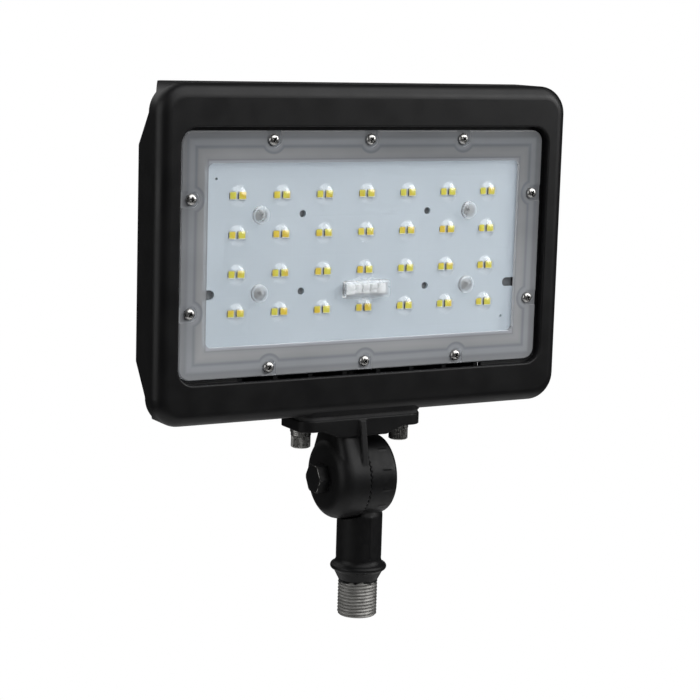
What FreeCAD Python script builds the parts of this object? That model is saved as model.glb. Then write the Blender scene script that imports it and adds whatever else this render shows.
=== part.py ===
import FreeCAD, Part
import math
import os

# Knuckle-mount flood light, in millimetres. X runs right, Y runs from the lit face to the back, Z is up.
# The origin is on the axis of the pipe thread, just under the collar.
# The head is drawn about its own middle, with Y counted back from its front face, then put in place.

os.makedirs("parts", exist_ok=True)
Vec = FreeCAD.Vector
X, Y, Z = Vec(1, 0, 0), Vec(0, 1, 0), Vec(0, 0, 1)

# Light chips, in pairs on a grid
chip_columns = 7
chip_rows = 4
column_pitch = 25.0
row_pitch = 20.0
chip_size = 3.5
chip_height = 0.7
chip_pair_pitch = 4.8

# Light board and the pad under it
board_reach = 1.2
board_thick = 1.6
board_corner = 2.5
board_hole_radius = 1.9
fiducial_radius = 0.7
fiducial_inset_x = 7.2
fiducial_inset_z = 9.2
edge_notch_radius = 2.5
edge_notch_inset = 4.6
pad_thick = 0.5
pad_inset = 0.2

# Connector on the board and its two leads
connector_length = 23.4
connector_height = 5.2
connector_depth = 3.6
connector_round = 0.5
lead_radius = 0.8
lead_gap = 1.0
lead_bend = 6.0
lead_run = 10.4
lead_hole_radius = 2.6

# Lens cover
lens_set_back = 3.6
flange_thick = 2.5
flange_width_x = 13.2
flange_width_z = 14.7
lens_corner = 6.0
lens_edge_round = 0.8
recess_margin_x = 18.0
recess_margin_z = 16.5
recess_depth = 1.6
recess_corner = 3.0
lens_thick = 2.0
lens_side_wall = 1.4
dome_height = 2.0
chip_room = 0.7
dome_skin = 0.4
dome_hollow_height = 1.6
bubble_skin = 1.4
bubble_round = 1.4
boss_round = 1.2
part_room = 0.6

# Lens screws, pan heads with a cross recess
lens_screw_radius = 1.5
lens_screw_head_radius = 2.9
lens_screw_head_height = 2.2
lens_screw_length = 7.5
lens_screw_edge_x = 5.6
lens_screw_edge_z = 4.5
lens_screw_spread_x = 56.7
lens_screw_spread_z = 28.7
screw_seat_room = 1.3
screw_seat_depth = 1.0
screw_hole_room = 0.25
thread_room = 0.05
head_round = 1.0
cross_length = 3.2
cross_width = 0.75
cross_depth = 1.2

# Lens gasket, a band that bends round each screw
gasket_inset = 5.0
gasket_width = 2.5
gasket_thick = 2.0
gasket_least_corner = 1.5
gasket_screw_room = 3.7
gasket_room = 0.15
flange_gap = 0.3

# Board screws
board_screw_radius = 1.5
board_screw_head_radius = 2.75
board_screw_head_height = 2.0
board_screw_length = 5.0
hole_bottom_room = 0.3

# Die-cast housing: outer frame, tray and cooling ribs
window_gap_x = 1.8
window_gap_z = 2.0
window_corner = 9.0
window_round = 0.8
well_drop = 1.2
frame_border_x = 12.2
frame_border_z = 21.5
frame_corner = 15.0
frame_round = 7.0
frame_wall = 3.0
front_plate = 3.2
corner_depth = 13.0
side_skirt_depth = 24.6
side_skirt_half = 54.5
side_skirt_slope = 16.5
end_skirt_depth = 31.5
end_skirt_reach = 2.2
end_skirt_slope = 9.0
tray_lip = 0.8
tray_floor = 3.5
board_room = 0.4
pocket_room = 0.6
rib_pitch = 20.5
rib_thick = 2.5
rib_front = 6.5
rib_back = 31.0
side_rib_back = 22.0
vent_half = 74.0
mount_wall_half = 84.0
mount_wall_thick = 3.0
mount_wall_set = 8.0
weld = 0.1

# Driver room behind the tray, and its cover
room_wall = 3.0
room_corner = 5.0
room_post_radius = 4.5
room_post_inset = 5.5
cover_thick = 3.0
cover_round = 1.0
cover_gasket_thick = 1.0
cover_screw_radius = 2.0
cover_screw_head_radius = 3.7
cover_screw_head_height = 2.6
cover_screw_length = 12.0

# Driver
driver_length = 104.0
driver_height = 40.0
driver_depth = 20.0
driver_wall = 1.2
driver_rise = 11.0
driver_lug = 6.4
driver_lug_thick = 2.0
driver_lug_height = 12.0
driver_screw_radius = 1.5
driver_screw_head_radius = 2.75
driver_screw_head_height = 2.0
driver_screw_length = 4.8
potting_drop = 1.0
driver_side_room = 0.6
driver_top_room = 2.0
driver_back_room = 5.8
driver_post_room = 0.3

# Wire way from the knuckle into the driver room, and its grommet
wire_way_room = 0.3
wire_way_radius = 3.5
wire_way_wall = 3.0
grommet_neck_radius = 5.0
grommet_flange_radius = 6.5
grommet_flange_thick = 1.5
grommet_bore_radius = 2.6

# Mounting plate of the upper knuckle, its gasket and its bolts
plate_half_x = 37.0
plate_depth = 30.0
plate_front = 1.5
plate_corner = 8.0
plate_thick = 6.1
plate_hub_drop = 3.8
plate_hub_half = 14.0
washer_seat_room = 0.3
mount_gasket_thick = 2.0
mount_gasket_inset = 0.6
bolt_inset = 7.0
bolt_radius = 3.0
bolt_hole_room = 0.3
bolt_length = 20.0
bolt_head_radius = 5.2
bolt_head_height = 6.6
bolt_head_chamfer = 0.5
bolt_socket_flats = 5.0
bolt_socket_depth = 3.0
bolt_post_radius = 6.5
bolt_post_height = 16.0
flat_washer_radius = 5.8
flat_washer_thick = 1.8
spring_washer_radius = 5.4
spring_washer_thick = 1.9
spring_washer_split = 0.8

# Knuckle drum: the left half belongs to the plate, the right half to the stem
left_radius = 22.4
left_round = 7.5
left_half = 16.8
right_radius = 21.4
right_round = 3.0
right_half = 17.7
stem_right_of_seam = 6.5
stem_right_of_head = 7.5
half_gap = 0.5
tooth_count = 48
tooth_band = 6.0
tooth_height = 1.2
tooth_base = 2.0
tooth_gap = 0.3
tooth_rim_room = 0.2
seal_width = 2.0
seal_thick = 1.5
seal_stand = 0.2
seal_room = 0.1
seal_margin = 0.8
hub_radius = 7.5
cavity_depth = 7.3
seam_turn = 60.0
neck_gap = 1.9
neck_half_depth = 13.5
neck_flare_angle = 26.0
neck_inset = 2.0
neck_round = 5.0
web_thick = 4.0
web_stand = 0.9
web_top_drop = 1.2
web_foot_angle = 24.0
tick_length = 4.5
tick_width = 0.8
tick_height = 0.3
tick_step = 30.0
tick_first = -42.0
tick_count = 4
tick_inset = 4.7

# Pivot bolt and its captive nut
pivot_radius = 4.0
pivot_room = 0.06
pivot_head_flats = 14.3
pivot_head_height = 6.2
pivot_head_chamfer = 0.5
pivot_head_gap = 0.1
nut_height = 6.5
nut_room = 0.15

# Stem with its collar and pipe thread
stem_radius = 12.35
stem_length = 23.3
stem_top_taper = 6.0
stem_top_inset = 1.7
saddle_room = 0.6
saddle_over = 1.0
ridge_radius = 0.45
collar_stand = 2.95
collar_height = 13.0
collar_fillet = 3.9
collar_cone = 5.6
thread_radius = 10.67
thread_end = -18.3
thread_chamfer = 0.8
shoulder = 1.5
wire_bore_radius = 6.5
wire_bore_top = 30.0
passage_radius = 3.4
passage_wall = 1.0

# Places worked out from the sizes above, counted from the middle of the head and back from its front face
recess_half_x = column_pitch * (chip_columns - 1) / 2 + recess_margin_x
recess_half_z = row_pitch * (chip_rows - 1) / 2 + recess_margin_z
board_half_x = recess_half_x + board_reach
board_half_z = recess_half_z + board_reach
lens_low_half_x = recess_half_x + lens_side_wall
lens_low_half_z = recess_half_z + lens_side_wall
lens_half_x = lens_low_half_x + flange_width_x
lens_half_z = lens_low_half_z + flange_width_z
window_half_x = lens_half_x + window_gap_x
window_half_z = lens_half_z + window_gap_z
frame_half_x = window_half_x + frame_border_x
frame_half_z = window_half_z + frame_border_z
tray_half_x = lens_half_x + tray_lip
tray_half_z = lens_half_z + tray_lip
pocket_half_x = lens_low_half_x + pocket_room
pocket_half_z = lens_low_half_z + pocket_room
wall_half_x = frame_half_x - frame_wall
wall_half_z = frame_half_z - frame_wall
end_rib_pairs = int((tray_half_x - rib_thick / 2) / rib_pitch + 0.5)
side_rib_pairs = int((tray_half_z - rib_thick / 2) / rib_pitch + 0.5)
flange_back = lens_set_back + flange_thick
lens_front = lens_set_back + recess_depth
lens_back = lens_front + lens_thick
board_front = lens_back + board_room
board_back = board_front + board_thick
floor_front = board_back + pad_thick
floor_back = floor_front + tray_floor
tray_front = flange_back + flange_gap
well_floor = lens_set_back + well_drop
well_back = well_floor + frame_wall
gasket_back = flange_back + gasket_thick
screw_seat = lens_set_back + screw_seat_depth
screw_seat_radius = lens_screw_head_radius + screw_seat_room
pivot_y = plate_front + plate_depth / 2
wire_way_y = floor_back + wire_way_room + grommet_flange_radius
connector_z = -row_pitch * (chip_rows / 2 - 1)
driver_back = floor_back + driver_depth
driver_low = driver_rise - driver_height / 2
room_half_x = driver_length / 2 + driver_lug + driver_side_room + room_wall
room_half_z = driver_rise + driver_height / 2 + driver_top_room + room_wall
room_back = driver_back + driver_back_room
cover_front = room_back + cover_gasket_thick
cover_back = cover_front + cover_thick
bolt_spread = plate_half_x - bolt_inset
hub_end = bolt_spread - flat_washer_radius - washer_seat_room
plate_top = -frame_half_z - mount_gasket_thick
plate_under = plate_top - plate_thick
plate_hub_under = plate_under - plate_hub_drop
pivot_z = plate_hub_under - neck_gap - left_radius

# The same places counted from the origin
pivot_height = shoulder + collar_height + stem_length + right_radius
head_move = Vec(-stem_right_of_head, -pivot_y, pivot_height - pivot_z)
seam_x = -stem_right_of_seam
left_end = seam_x - left_half
right_end = seam_x + right_half
left_seam = seam_x - half_gap / 2
right_seam = seam_x + half_gap / 2
wire_way_x = left_seam - cavity_depth / 2 - head_move.x
passage_x = right_seam + seal_thick + passage_wall + passage_radius


def box(x0, x1, y0, y1, z0, z1):
    return Part.makeBox(x1 - x0, y1 - y0, z1 - z0, Vec(x0, y0, z0))


def rod(radius, start, along, length):
    return Part.makeCylinder(radius, length, start, along)


def slab(half_x, half_z, corner, y0, y1):
    """Rounded rectangle about the middle of the head, from y0 back to y1."""
    block = box(-half_x, half_x, y0, y1, -half_z, half_z)
    edges = [e for e in block.Edges if abs(e.tangentAt(e.FirstParameter).y) > 0.99]
    return block.makeFillet(corner, edges)


def prism(points, along):
    return Part.Face(Part.makePolygon(points + points[:1])).extrude(along)


def edges_at_y(shape, y):
    return [e for e in shape.Edges if abs(e.BoundBox.YMin - y) < 1e-4 and abs(e.BoundBox.YMax - y) < 1e-4]


def edges_at_x(shape, x):
    return [e for e in shape.Edges if abs(e.BoundBox.XMin - x) < 1e-4 and abs(e.BoundBox.XMax - x) < 1e-4]


def cap(base_radius, height, base, toward):
    """Part of a ball that stands on a round base."""
    ball = (base_radius ** 2 + height ** 2) / (2 * height)
    low = math.degrees(math.asin((ball - height) / ball))
    return Part.makeSphere(ball, base - toward * (ball - height), toward, low, 90, 360)


def hexagon(flats, start, along, length, first_corner):
    """Six-sided bar with one corner in the direction first_corner."""
    side = along.cross(first_corner)
    reach = flats / math.sqrt(3)
    corners = []
    for i in range(6):
        turn = math.radians(60 * i)
        corners.append(start + first_corner * (reach * math.cos(turn)) + side * (reach * math.sin(turn)))
    return prism(corners, along * length)


def pan_screw(radius, length, head_radius, head_height, seat, along):
    """Pan-head screw: the head stands on the seat and the shank goes along."""
    head = rod(head_radius, seat - along * head_height, along, head_height)
    top = [e for e in head.Edges if e.Closed and (e.BoundBox.Center - seat).dot(along) < -head_height / 2]
    head = head.makeFillet(head_round, top)
    top_middle = seat - along * head_height
    side = along.cross(Z) if abs(along.z) < 0.5 else X
    other = along.cross(side)
    for a, b in ((side, other), (other, side)):
        half = a * (cross_length / 2) + b * (cross_width / 2)
        flat = a * (cross_length / 2) - b * (cross_width / 2)
        corners = [top_middle - half, top_middle + flat, top_middle + half, top_middle - flat]
        head = head.cut(prism(corners, along * cross_depth))
    return head.fuse(rod(radius, seat, along, length)).removeSplitter()


def export(name, shape, in_head=True):
    if in_head:
        shape = shape.copy()
        shape.translate(head_move)
    shape.exportStep("parts/" + name + ".step")
    box_size = shape.BoundBox
    print("%-20s solids %2d volume %10.1f valid %s  %.1f x %.1f x %.1f" % (
        name, len(shape.Solids), shape.Volume, shape.isValid(),
        box_size.XLength, box_size.YLength, box_size.ZLength))


# Positions that several pieces share
chip_pairs = []
for column in range(chip_columns):
    for row in range(chip_rows):
        x = (column - (chip_columns - 1) / 2) * column_pitch
        z = (row - (chip_rows - 1) / 2) * row_pitch
        chip_pairs.append((x, z))

lens_screws = []
for side in (-1, 1):
    for step in (-1, 0, 1):
        lens_screws.append((step * lens_screw_spread_x, side * (lens_half_z - lens_screw_edge_z)))
    for step in (-1, 1):
        lens_screws.append((side * (lens_half_x - lens_screw_edge_x), step * lens_screw_spread_z))

corners_of_sign = [(a, b) for a in (-1, 1) for b in (-1, 1)]
board_screws = [(a * column_pitch * 2.5, b * abs(connector_z)) for a, b in corners_of_sign]
board_holes = [(a * column_pitch * 1.5, b * abs(connector_z)) for a, b in corners_of_sign]
post_x = driver_length / 2 + driver_post_room + room_post_radius
post_z = room_half_z - room_post_inset
cover_screws = [(a * post_x, b * post_z) for a, b in corners_of_sign]
driver_screws = [(a * (driver_length + driver_lug) / 2, driver_rise) for a in (-1, 1)]
plate_bolts = [-bolt_spread, bolt_spread]


def gasket_band(grow, y0, y1):
    """Band inside the lens edge that bends inward round each screw, grown by a little for its groove."""
    outer_inset = gasket_inset - grow
    inner_inset = gasket_inset + gasket_width + grow
    outer_room = gasket_screw_room - grow
    inner_room = gasket_screw_room + gasket_width + grow
    loops = []
    for inset, room in ((outer_inset, outer_room), (inner_inset, inner_room)):
        corner = max(lens_corner - inset, gasket_least_corner)
        loop = slab(lens_half_x - inset, lens_half_z - inset, corner, y0, y1)
        loops.append(loop.cut([rod(room, Vec(x, y0, z), Y, y1 - y0) for x, z in lens_screws]))
    return loops[0].cut(loops[1])


def room_ring(y0, y1):
    """Wall of the driver room with a post in each corner, and a hole down each post."""
    ring = slab(room_half_x, room_half_z, room_corner, y0, y1)
    inside = slab(room_half_x - room_wall, room_half_z - room_wall, room_corner - room_wall, y0, y1)
    posts = [rod(room_post_radius, Vec(x, y0, z), Y, y1 - y0) for x, z in cover_screws]
    ring = ring.cut(inside.cut(posts))
    return ring


def plate_outline(inset, z0, z1):
    """Plan of the mounting plate, rounded at its corners."""
    half = plate_half_x - inset
    block = box(-half, half, plate_front + inset, plate_front + plate_depth - inset, z0, z1)
    edges = [e for e in block.Edges if abs(e.tangentAt(e.FirstParameter).z) > 0.99]
    return block.makeFillet(plate_corner - inset, edges)


def make_housing():
    # Outer frame, deeper along the middle of each side than at its corners
    whole = slab(frame_half_x, frame_half_z, frame_corner, 0, end_skirt_depth)
    whole = whole.makeFillet(frame_round, edges_at_y(whole, 0))
    far = 2 * frame_half_x
    front = box(-far, far, 0, corner_depth, -far, far)
    side_base = side_skirt_half + side_skirt_slope
    side_points = [(0, -side_base), (corner_depth, -side_base), (side_skirt_depth, -side_skirt_half),
                   (side_skirt_depth, side_skirt_half), (corner_depth, side_base), (0, side_base)]
    side_keep = prism([Vec(-far, y, z) for y, z in side_points], X * (2 * far))
    end_half = frame_half_x - frame_corner + end_skirt_reach
    end_base = end_half + end_skirt_slope
    end_points = [(-end_base, 0), (-end_base, corner_depth), (-end_half, end_skirt_depth),
                  (end_half, end_skirt_depth), (end_base, corner_depth), (end_base, 0)]
    end_keep = prism([Vec(x, y, -far) for x, y in end_points], Z * (2 * far))
    frame = whole.common(front.fuse([side_keep, end_keep]).removeSplitter())
    hollow = slab(wall_half_x, wall_half_z, frame_corner - frame_wall, front_plate, 2 * end_skirt_depth)
    window = slab(window_half_x, window_half_z, window_corner, -1, front_plate + 1)
    frame = frame.cut([hollow, window]).removeSplitter()
    lip = [e for e in edges_at_y(frame, 0)
           if max(abs(e.BoundBox.XMin), abs(e.BoundBox.XMax)) < window_half_x + weld
           and max(abs(e.BoundBox.ZMin), abs(e.BoundBox.ZMax)) < window_half_z + weld]
    frame = frame.makeFillet(window_round, lip)

    # Tray, ribs between tray and frame, driver room, wire way and bolt posts.
    # A step in from the window closes the gap round the lens, save along the middle of the bottom.
    adds = [slab(tray_half_x, tray_half_z, lens_corner + tray_lip, tray_front, floor_back)]
    for pair in range(end_rib_pairs):
        for side in (-1, 1):
            x = side * (pair + 0.5) * rib_pitch
            x0, x1 = x - rib_thick / 2, x + rib_thick / 2
            reach = wall_half_z + weld
            adds.append(box(x0, x1, floor_back - weld, rib_back, -reach, reach))
            adds.append(box(x0, x1, rib_front, rib_back, tray_half_z - weld, reach))
            adds.append(box(x0, x1, rib_front, rib_back, -reach, -tray_half_z + weld))
    for pair in range(side_rib_pairs):
        for side in (-1, 1):
            z = side * (pair + 0.5) * rib_pitch
            z0, z1 = z - rib_thick / 2, z + rib_thick / 2
            adds.append(box(tray_half_x - weld, wall_half_x + weld, rib_front, side_rib_back, z0, z1))
            adds.append(box(-wall_half_x - weld, -tray_half_x + weld, rib_front, side_rib_back, z0, z1))
    well = slab(window_half_x + frame_wall, window_half_z + frame_wall, window_corner + frame_wall,
                front_plate - weld, well_back)
    web_z = wall_half_z + weld
    adds.append(well.cut([
        slab(window_half_x, window_half_z, window_corner, 0, well_floor),
        slab(tray_half_x - weld, tray_half_z - weld, lens_corner + tray_lip, 0, well_back + 1),
        box(-vent_half, vent_half, 0, well_back + 1, -web_z, weld - tray_half_z)]))
    wall_y = pivot_y + mount_wall_set
    adds.append(box(-mount_wall_half, mount_wall_half, wall_y, wall_y + mount_wall_thick,
                    -web_z, weld - tray_half_z))
    adds.append(slab(room_half_x, room_half_z, room_corner, floor_back - weld, room_back))
    room_floor_z = -room_half_z + room_wall
    tube_base = -frame_half_z
    adds.append(rod(wire_way_radius + wire_way_wall, Vec(wire_way_x, wire_way_y, tube_base), Z,
                    room_floor_z - tube_base - weld))
    for x in plate_bolts:
        adds.append(rod(bolt_post_radius, Vec(x, pivot_y, tube_base + weld), Z, bolt_post_height))
    adds.append(plate_outline(0, tube_base, tube_base + frame_wall))
    body = frame.fuse(adds).removeSplitter()

    # Hollows and holes
    inside = slab(room_half_x - room_wall, room_half_z - room_wall, room_corner - room_wall,
                  floor_back, room_back + 1)
    posts = [rod(room_post_radius, Vec(x, floor_back - weld, z), Y, room_back - floor_back + 2)
             for x, z in cover_screws]
    pocket = slab(pocket_half_x, pocket_half_z, recess_corner + pocket_room, 0, floor_front)
    cuts = [inside.cut(posts), pocket, gasket_band(gasket_room, 0, gasket_back)]
    hole = lens_screw_radius + thread_room
    for x, z in lens_screws:
        cuts.append(rod(hole, Vec(x, 0, z), Y, screw_seat + lens_screw_length + hole_bottom_room))
    hole = board_screw_radius + thread_room
    for x, z in board_screws:
        cuts.append(rod(hole, Vec(x, 0, z), Y, board_front + board_screw_length + hole_bottom_room))
    for x, z in cover_screws:
        depth = cover_screw_length - cover_thick - cover_gasket_thick + hole_bottom_room
        cuts.append(rod(cover_screw_radius + thread_room, Vec(x, room_back - depth, z), Y, depth + 1))
    for x, z in driver_screws:
        depth = driver_screw_length - driver_lug_thick + hole_bottom_room
        cuts.append(rod(driver_screw_radius + thread_room, Vec(x, floor_back - depth, z), Y, depth + 1))
    cuts.append(rod(lead_hole_radius, Vec(0, 0, connector_z), Y, floor_back + 1))
    cuts.append(rod(wire_way_radius, Vec(wire_way_x, wire_way_y, tube_base - 1), Z, room_floor_z - tube_base))
    cuts.append(rod(grommet_neck_radius, Vec(wire_way_x, wire_way_y, -room_half_z), Z, room_wall + 1))
    depth = bolt_length - flat_washer_thick - spring_washer_thick - plate_thick - mount_gasket_thick
    depth += hole_bottom_room
    for x in plate_bolts:
        cuts.append(rod(bolt_radius + thread_room, Vec(x, pivot_y, tube_base - 1), Z, depth + 1))
    return body.cut(cuts).removeSplitter()


def make_lens():
    flange = slab(lens_half_x, lens_half_z, lens_corner, lens_set_back, flange_back)
    flange = flange.makeFillet(lens_edge_round, edges_at_y(flange, lens_set_back))
    low = slab(lens_low_half_x, lens_low_half_z, recess_corner + lens_side_wall, lens_front, lens_back)
    lens = flange.fuse(low).cut(slab(recess_half_x, recess_half_z, recess_corner, 0, lens_front))

    # Domes over the chips, a bubble over the connector and a boss over each board screw
    adds = []
    cuts = []
    hollow_radius = math.hypot((chip_pair_pitch + chip_size) / 2, chip_size / 2) + chip_room
    for x, z in chip_pairs:
        adds.append(cap(hollow_radius + dome_skin, dome_height, Vec(x, lens_front, z), -Y))
        cuts.append(cap(hollow_radius, dome_hollow_height, Vec(x, lens_back, z), -Y))
    room_x = connector_length / 2 + part_room
    room_z = connector_height / 2 + part_room
    room_front = board_front - connector_depth - part_room
    front = room_front - bubble_skin
    bubble = box(-room_x - bubble_skin, room_x + bubble_skin, front, lens_front + weld,
                 connector_z - room_z - bubble_skin, connector_z + room_z + bubble_skin)
    upright = [e for e in bubble.Edges if e.BoundBox.YMax < lens_front or e.BoundBox.YLength > weld]
    adds.append(bubble.makeFillet(bubble_round, upright))
    cuts.append(box(-room_x, room_x, room_front, lens_back + 1, connector_z - room_z, connector_z + room_z))
    head = board_screw_head_radius + part_room
    head_front = board_front - board_screw_head_height - part_room
    front = head_front - bubble_skin
    for x, z in board_screws:
        boss = rod(head + bubble_skin, Vec(x, front, z), Y, lens_front + weld - front)
        adds.append(boss.makeFillet(boss_round, edges_at_y(boss, front)))
        cuts.append(rod(head, Vec(x, head_front, z), Y, lens_back + 1 - head_front))

    # Screw seats, open to the edge of the flange
    for x, z in lens_screws:
        cuts.append(rod(lens_screw_radius + screw_hole_room, Vec(x, 0, z), Y, flange_back + 1))
        cuts.append(rod(screw_seat_radius, Vec(x, 0, z), Y, screw_seat))
        if abs(x) < lens_screw_spread_x + weld:
            z0, z1 = sorted((z, math.copysign(lens_half_z + 1, z)))
            cuts.append(box(x - screw_seat_radius, x + screw_seat_radius, 0, screw_seat, z0, z1))
        else:
            x0, x1 = sorted((x, math.copysign(lens_half_x + 1, x)))
            cuts.append(box(x0, x1, 0, screw_seat, z - screw_seat_radius, z + screw_seat_radius))
    return lens.fuse(adds).removeSplitter().cut(cuts).removeSplitter()


def make_board():
    board = slab(board_half_x, board_half_z, board_corner, board_front, board_back)
    places = [(x, z, board_screw_radius + screw_hole_room) for x, z in board_screws]
    places += [(x, z, board_hole_radius) for x, z in board_holes]
    notch_x = board_half_x - edge_notch_inset
    places += [(side * notch_x, connector_z, edge_notch_radius) for side in (-1, 1)]
    mark_x = board_half_x - fiducial_inset_x
    mark_z = board_half_z - fiducial_inset_z
    places += [(-mark_x, mark_z, fiducial_radius), (mark_x, -mark_z, fiducial_radius)]
    places.append((0, connector_z, lead_hole_radius))
    cuts = [rod(radius, Vec(x, 0, z), Y, board_back + 1) for x, z, radius in places]
    z0, z1 = connector_z - edge_notch_radius, connector_z + edge_notch_radius
    cuts.append(box(notch_x, board_half_x + 1, 0, board_back + 1, z0, z1))
    cuts.append(box(-board_half_x - 1, -notch_x, 0, board_back + 1, z0, z1))
    return board.cut(cuts)


def make_pad():
    pad = slab(board_half_x - pad_inset, board_half_z - pad_inset, board_corner, board_back, floor_front)
    holes = [rod(board_screw_radius + screw_hole_room, Vec(x, 0, z), Y, floor_back) for x, z in board_screws]
    holes.append(rod(lead_hole_radius, Vec(0, 0, connector_z), Y, floor_back))
    return pad.cut(holes)


def make_chips():
    chips = []
    for x, z in chip_pairs:
        for side in (-1, 1):
            x0 = x + side * chip_pair_pitch / 2 - chip_size / 2
            z0 = z - chip_size / 2
            chips.append(box(x0, x0 + chip_size, board_front - chip_height, board_front, z0, z0 + chip_size))
    return Part.makeCompound(chips)


def make_connector():
    half = connector_length / 2
    body = box(-half, half, board_front - connector_depth, board_front,
               connector_z - connector_height / 2, connector_z + connector_height / 2)
    return body.makeFillet(connector_round, edges_at_y(body, board_front - connector_depth))


def make_leads():
    """Two leads from the back of the connector, through the board and tray, up to the driver."""
    leads = []
    for side in (-1, 1):
        x = side * (lead_radius + lead_gap / 2)
        turn_y = floor_back + lead_run - lead_bend
        corner = Vec(x, turn_y + lead_bend, connector_z)
        start = Vec(x, board_front, connector_z)
        arc_start = corner - Y * lead_bend
        arc_end = corner + Z * lead_bend
        centre = arc_start + Z * lead_bend
        middle = centre + (Y - Z) * (lead_bend / math.sqrt(2))
        path = Part.Wire([Part.LineSegment(start, arc_start).toShape(),
                          Part.Arc(arc_start, middle, arc_end).toShape(),
                          Part.LineSegment(arc_end, Vec(x, corner.y, driver_low)).toShape()])
        section = Part.Wire([Part.Circle(start, Y, lead_radius).toShape()])
        leads.append(path.makePipeShell([section], True, False))
    return Part.makeCompound(leads)


def make_driver_case():
    half = driver_length / 2
    case = box(-half, half, floor_back, driver_back, driver_low, driver_low + driver_height)
    case = case.cut(box(-half + driver_wall, half - driver_wall, floor_back + driver_wall, driver_back + 1,
                        driver_low + driver_wall, driver_low + driver_height - driver_wall))
    lugs = []
    for side in (-1, 1):
        x0, x1 = sorted((side * (half - weld), side * (half + driver_lug)))
        lugs.append(box(x0, x1, floor_back, floor_back + driver_lug_thick,
                        driver_rise - driver_lug_height / 2, driver_rise + driver_lug_height / 2))
    hole = driver_screw_radius + screw_hole_room
    holes = [rod(hole, Vec(x, 0, z), Y, driver_back) for x, z in driver_screws]
    lugs = [lug.cut(holes) for lug in lugs]
    return case.fuse(lugs).removeSplitter()


def make_potting():
    inset = driver_wall + thread_room
    half = driver_length / 2 - inset
    return box(-half, half, floor_back + driver_wall, driver_back - potting_drop,
               driver_low + inset, driver_low + driver_height - inset)


def make_cover():
    cover = slab(room_half_x, room_half_z, room_corner, cover_front, cover_back)
    cover = cover.makeFillet(cover_round, edges_at_y(cover, cover_back))
    return cover.cut([rod(cover_screw_radius + screw_hole_room, Vec(x, 0, z), Y, 2 * cover_back)
                      for x, z in cover_screws])


def make_cover_gasket():
    gasket = room_ring(room_back, cover_front)
    return gasket.cut([rod(cover_screw_radius + screw_hole_room, Vec(x, 0, z), Y, 2 * cover_back)
                       for x, z in cover_screws])


def make_grommet():
    """Sleeve in the floor of the driver room, with a flange that lies on the floor."""
    base = Vec(wire_way_x, wire_way_y, -room_half_z)
    neck = rod(grommet_neck_radius - thread_room, base, Z, room_wall)
    flange = rod(grommet_flange_radius, base + Z * room_wall, Z, grommet_flange_thick)
    bore = rod(grommet_bore_radius, base - Z, Z, room_wall + grommet_flange_thick + 2)
    return neck.fuse(flange).removeSplitter().cut(bore)


def make_mount_gasket():
    gasket = plate_outline(mount_gasket_inset, plate_top, -frame_half_z)
    cuts = [rod(bolt_radius + bolt_hole_room, Vec(x, pivot_y, plate_top - 1), Z, mount_gasket_thick + 2)
            for x in plate_bolts]
    cuts.append(rod(wire_way_radius, Vec(wire_way_x, wire_way_y, plate_top - 1), Z, mount_gasket_thick + 2))
    return gasket.cut(cuts)


def make_bolts():
    bolts = []
    seat = plate_under - flat_washer_thick - spring_washer_thick
    for x in plate_bolts:
        start = Vec(x, pivot_y, seat - bolt_head_height)
        head = rod(bolt_head_radius, start, Z, bolt_head_height)
        low = [e for e in head.Edges if e.Closed and e.BoundBox.ZMax < seat - bolt_head_height / 2]
        head = head.makeChamfer(bolt_head_chamfer, low)
        head = head.cut(hexagon(bolt_socket_flats, start, Z, bolt_socket_depth, X))
        bolts.append(head.fuse(rod(bolt_radius, Vec(x, pivot_y, seat), Z, bolt_length)).removeSplitter())
    return Part.makeCompound(bolts)


def make_flat_washers():
    base = plate_under - flat_washer_thick
    rings = []
    for x in plate_bolts:
        ring = rod(flat_washer_radius, Vec(x, pivot_y, base), Z, flat_washer_thick)
        rings.append(ring.cut(rod(bolt_radius + bolt_hole_room, Vec(x, pivot_y, base), Z, flat_washer_thick)))
    return Part.makeCompound(rings)


def make_spring_washers():
    base = plate_under - flat_washer_thick - spring_washer_thick
    rings = []
    for x in plate_bolts:
        ring = rod(spring_washer_radius, Vec(x, pivot_y, base), Z, spring_washer_thick)
        ring = ring.cut(rod(bolt_radius + bolt_hole_room, Vec(x, pivot_y, base), Z, spring_washer_thick))
        half = spring_washer_split / 2
        split = box(x - half, x + half, pivot_y - 2 * spring_washer_radius, pivot_y,
                    base - 1, base + spring_washer_thick + 1)
        rings.append(ring.cut(split))
    return Part.makeCompound(rings)


def drum_axis(x):
    return Vec(x, 0, pivot_height)


def ring_cut(inner, outer, x0, x1):
    """Ring about the drum's axis, turned so that its seam lies clear of the wire way."""
    tube = rod(outer, drum_axis(x0), X, x1 - x0)
    ring = tube.cut(rod(inner, drum_axis(x0), X, x1 - x0))
    ring.rotate(drum_axis(x0), X, seam_turn)
    return ring


def teeth(height, half_base, base_x, inner, outer):
    """Ring of radial ridges that stand along X on the plane base_x."""
    ridges = []
    for i in range(tooth_count):
        corners = [(-weld, -half_base), (0, -half_base), (height, 0), (0, half_base), (-weld, half_base)]
        ridge = prism([Vec(base_x + x, y, inner) for x, y in corners], Z * (outer - inner))
        ridge.rotate(Vec(0, 0, 0), X, 360.0 * i / tooth_count)
        ridge.translate(Z * pivot_height)
        ridges.append(ridge)
    return ridges


tooth_inner = right_radius - tooth_band
seal_outer = tooth_inner - seal_margin
seal_inner = seal_outer - seal_width
cavity_outer = seal_inner - seal_margin


def flared(x, half_depth, foot_angle, top):
    """Outline of an arm that spreads from the plate down to the drum, in the plane x."""
    foot_y = left_radius * math.cos(math.radians(foot_angle))
    foot_z = pivot_height + left_radius * math.sin(math.radians(foot_angle))
    corners = [(-half_depth, top), (half_depth, top), (foot_y, foot_z), (-foot_y, foot_z)]
    return [Vec(x, y, z) for y, z in corners]


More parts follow.
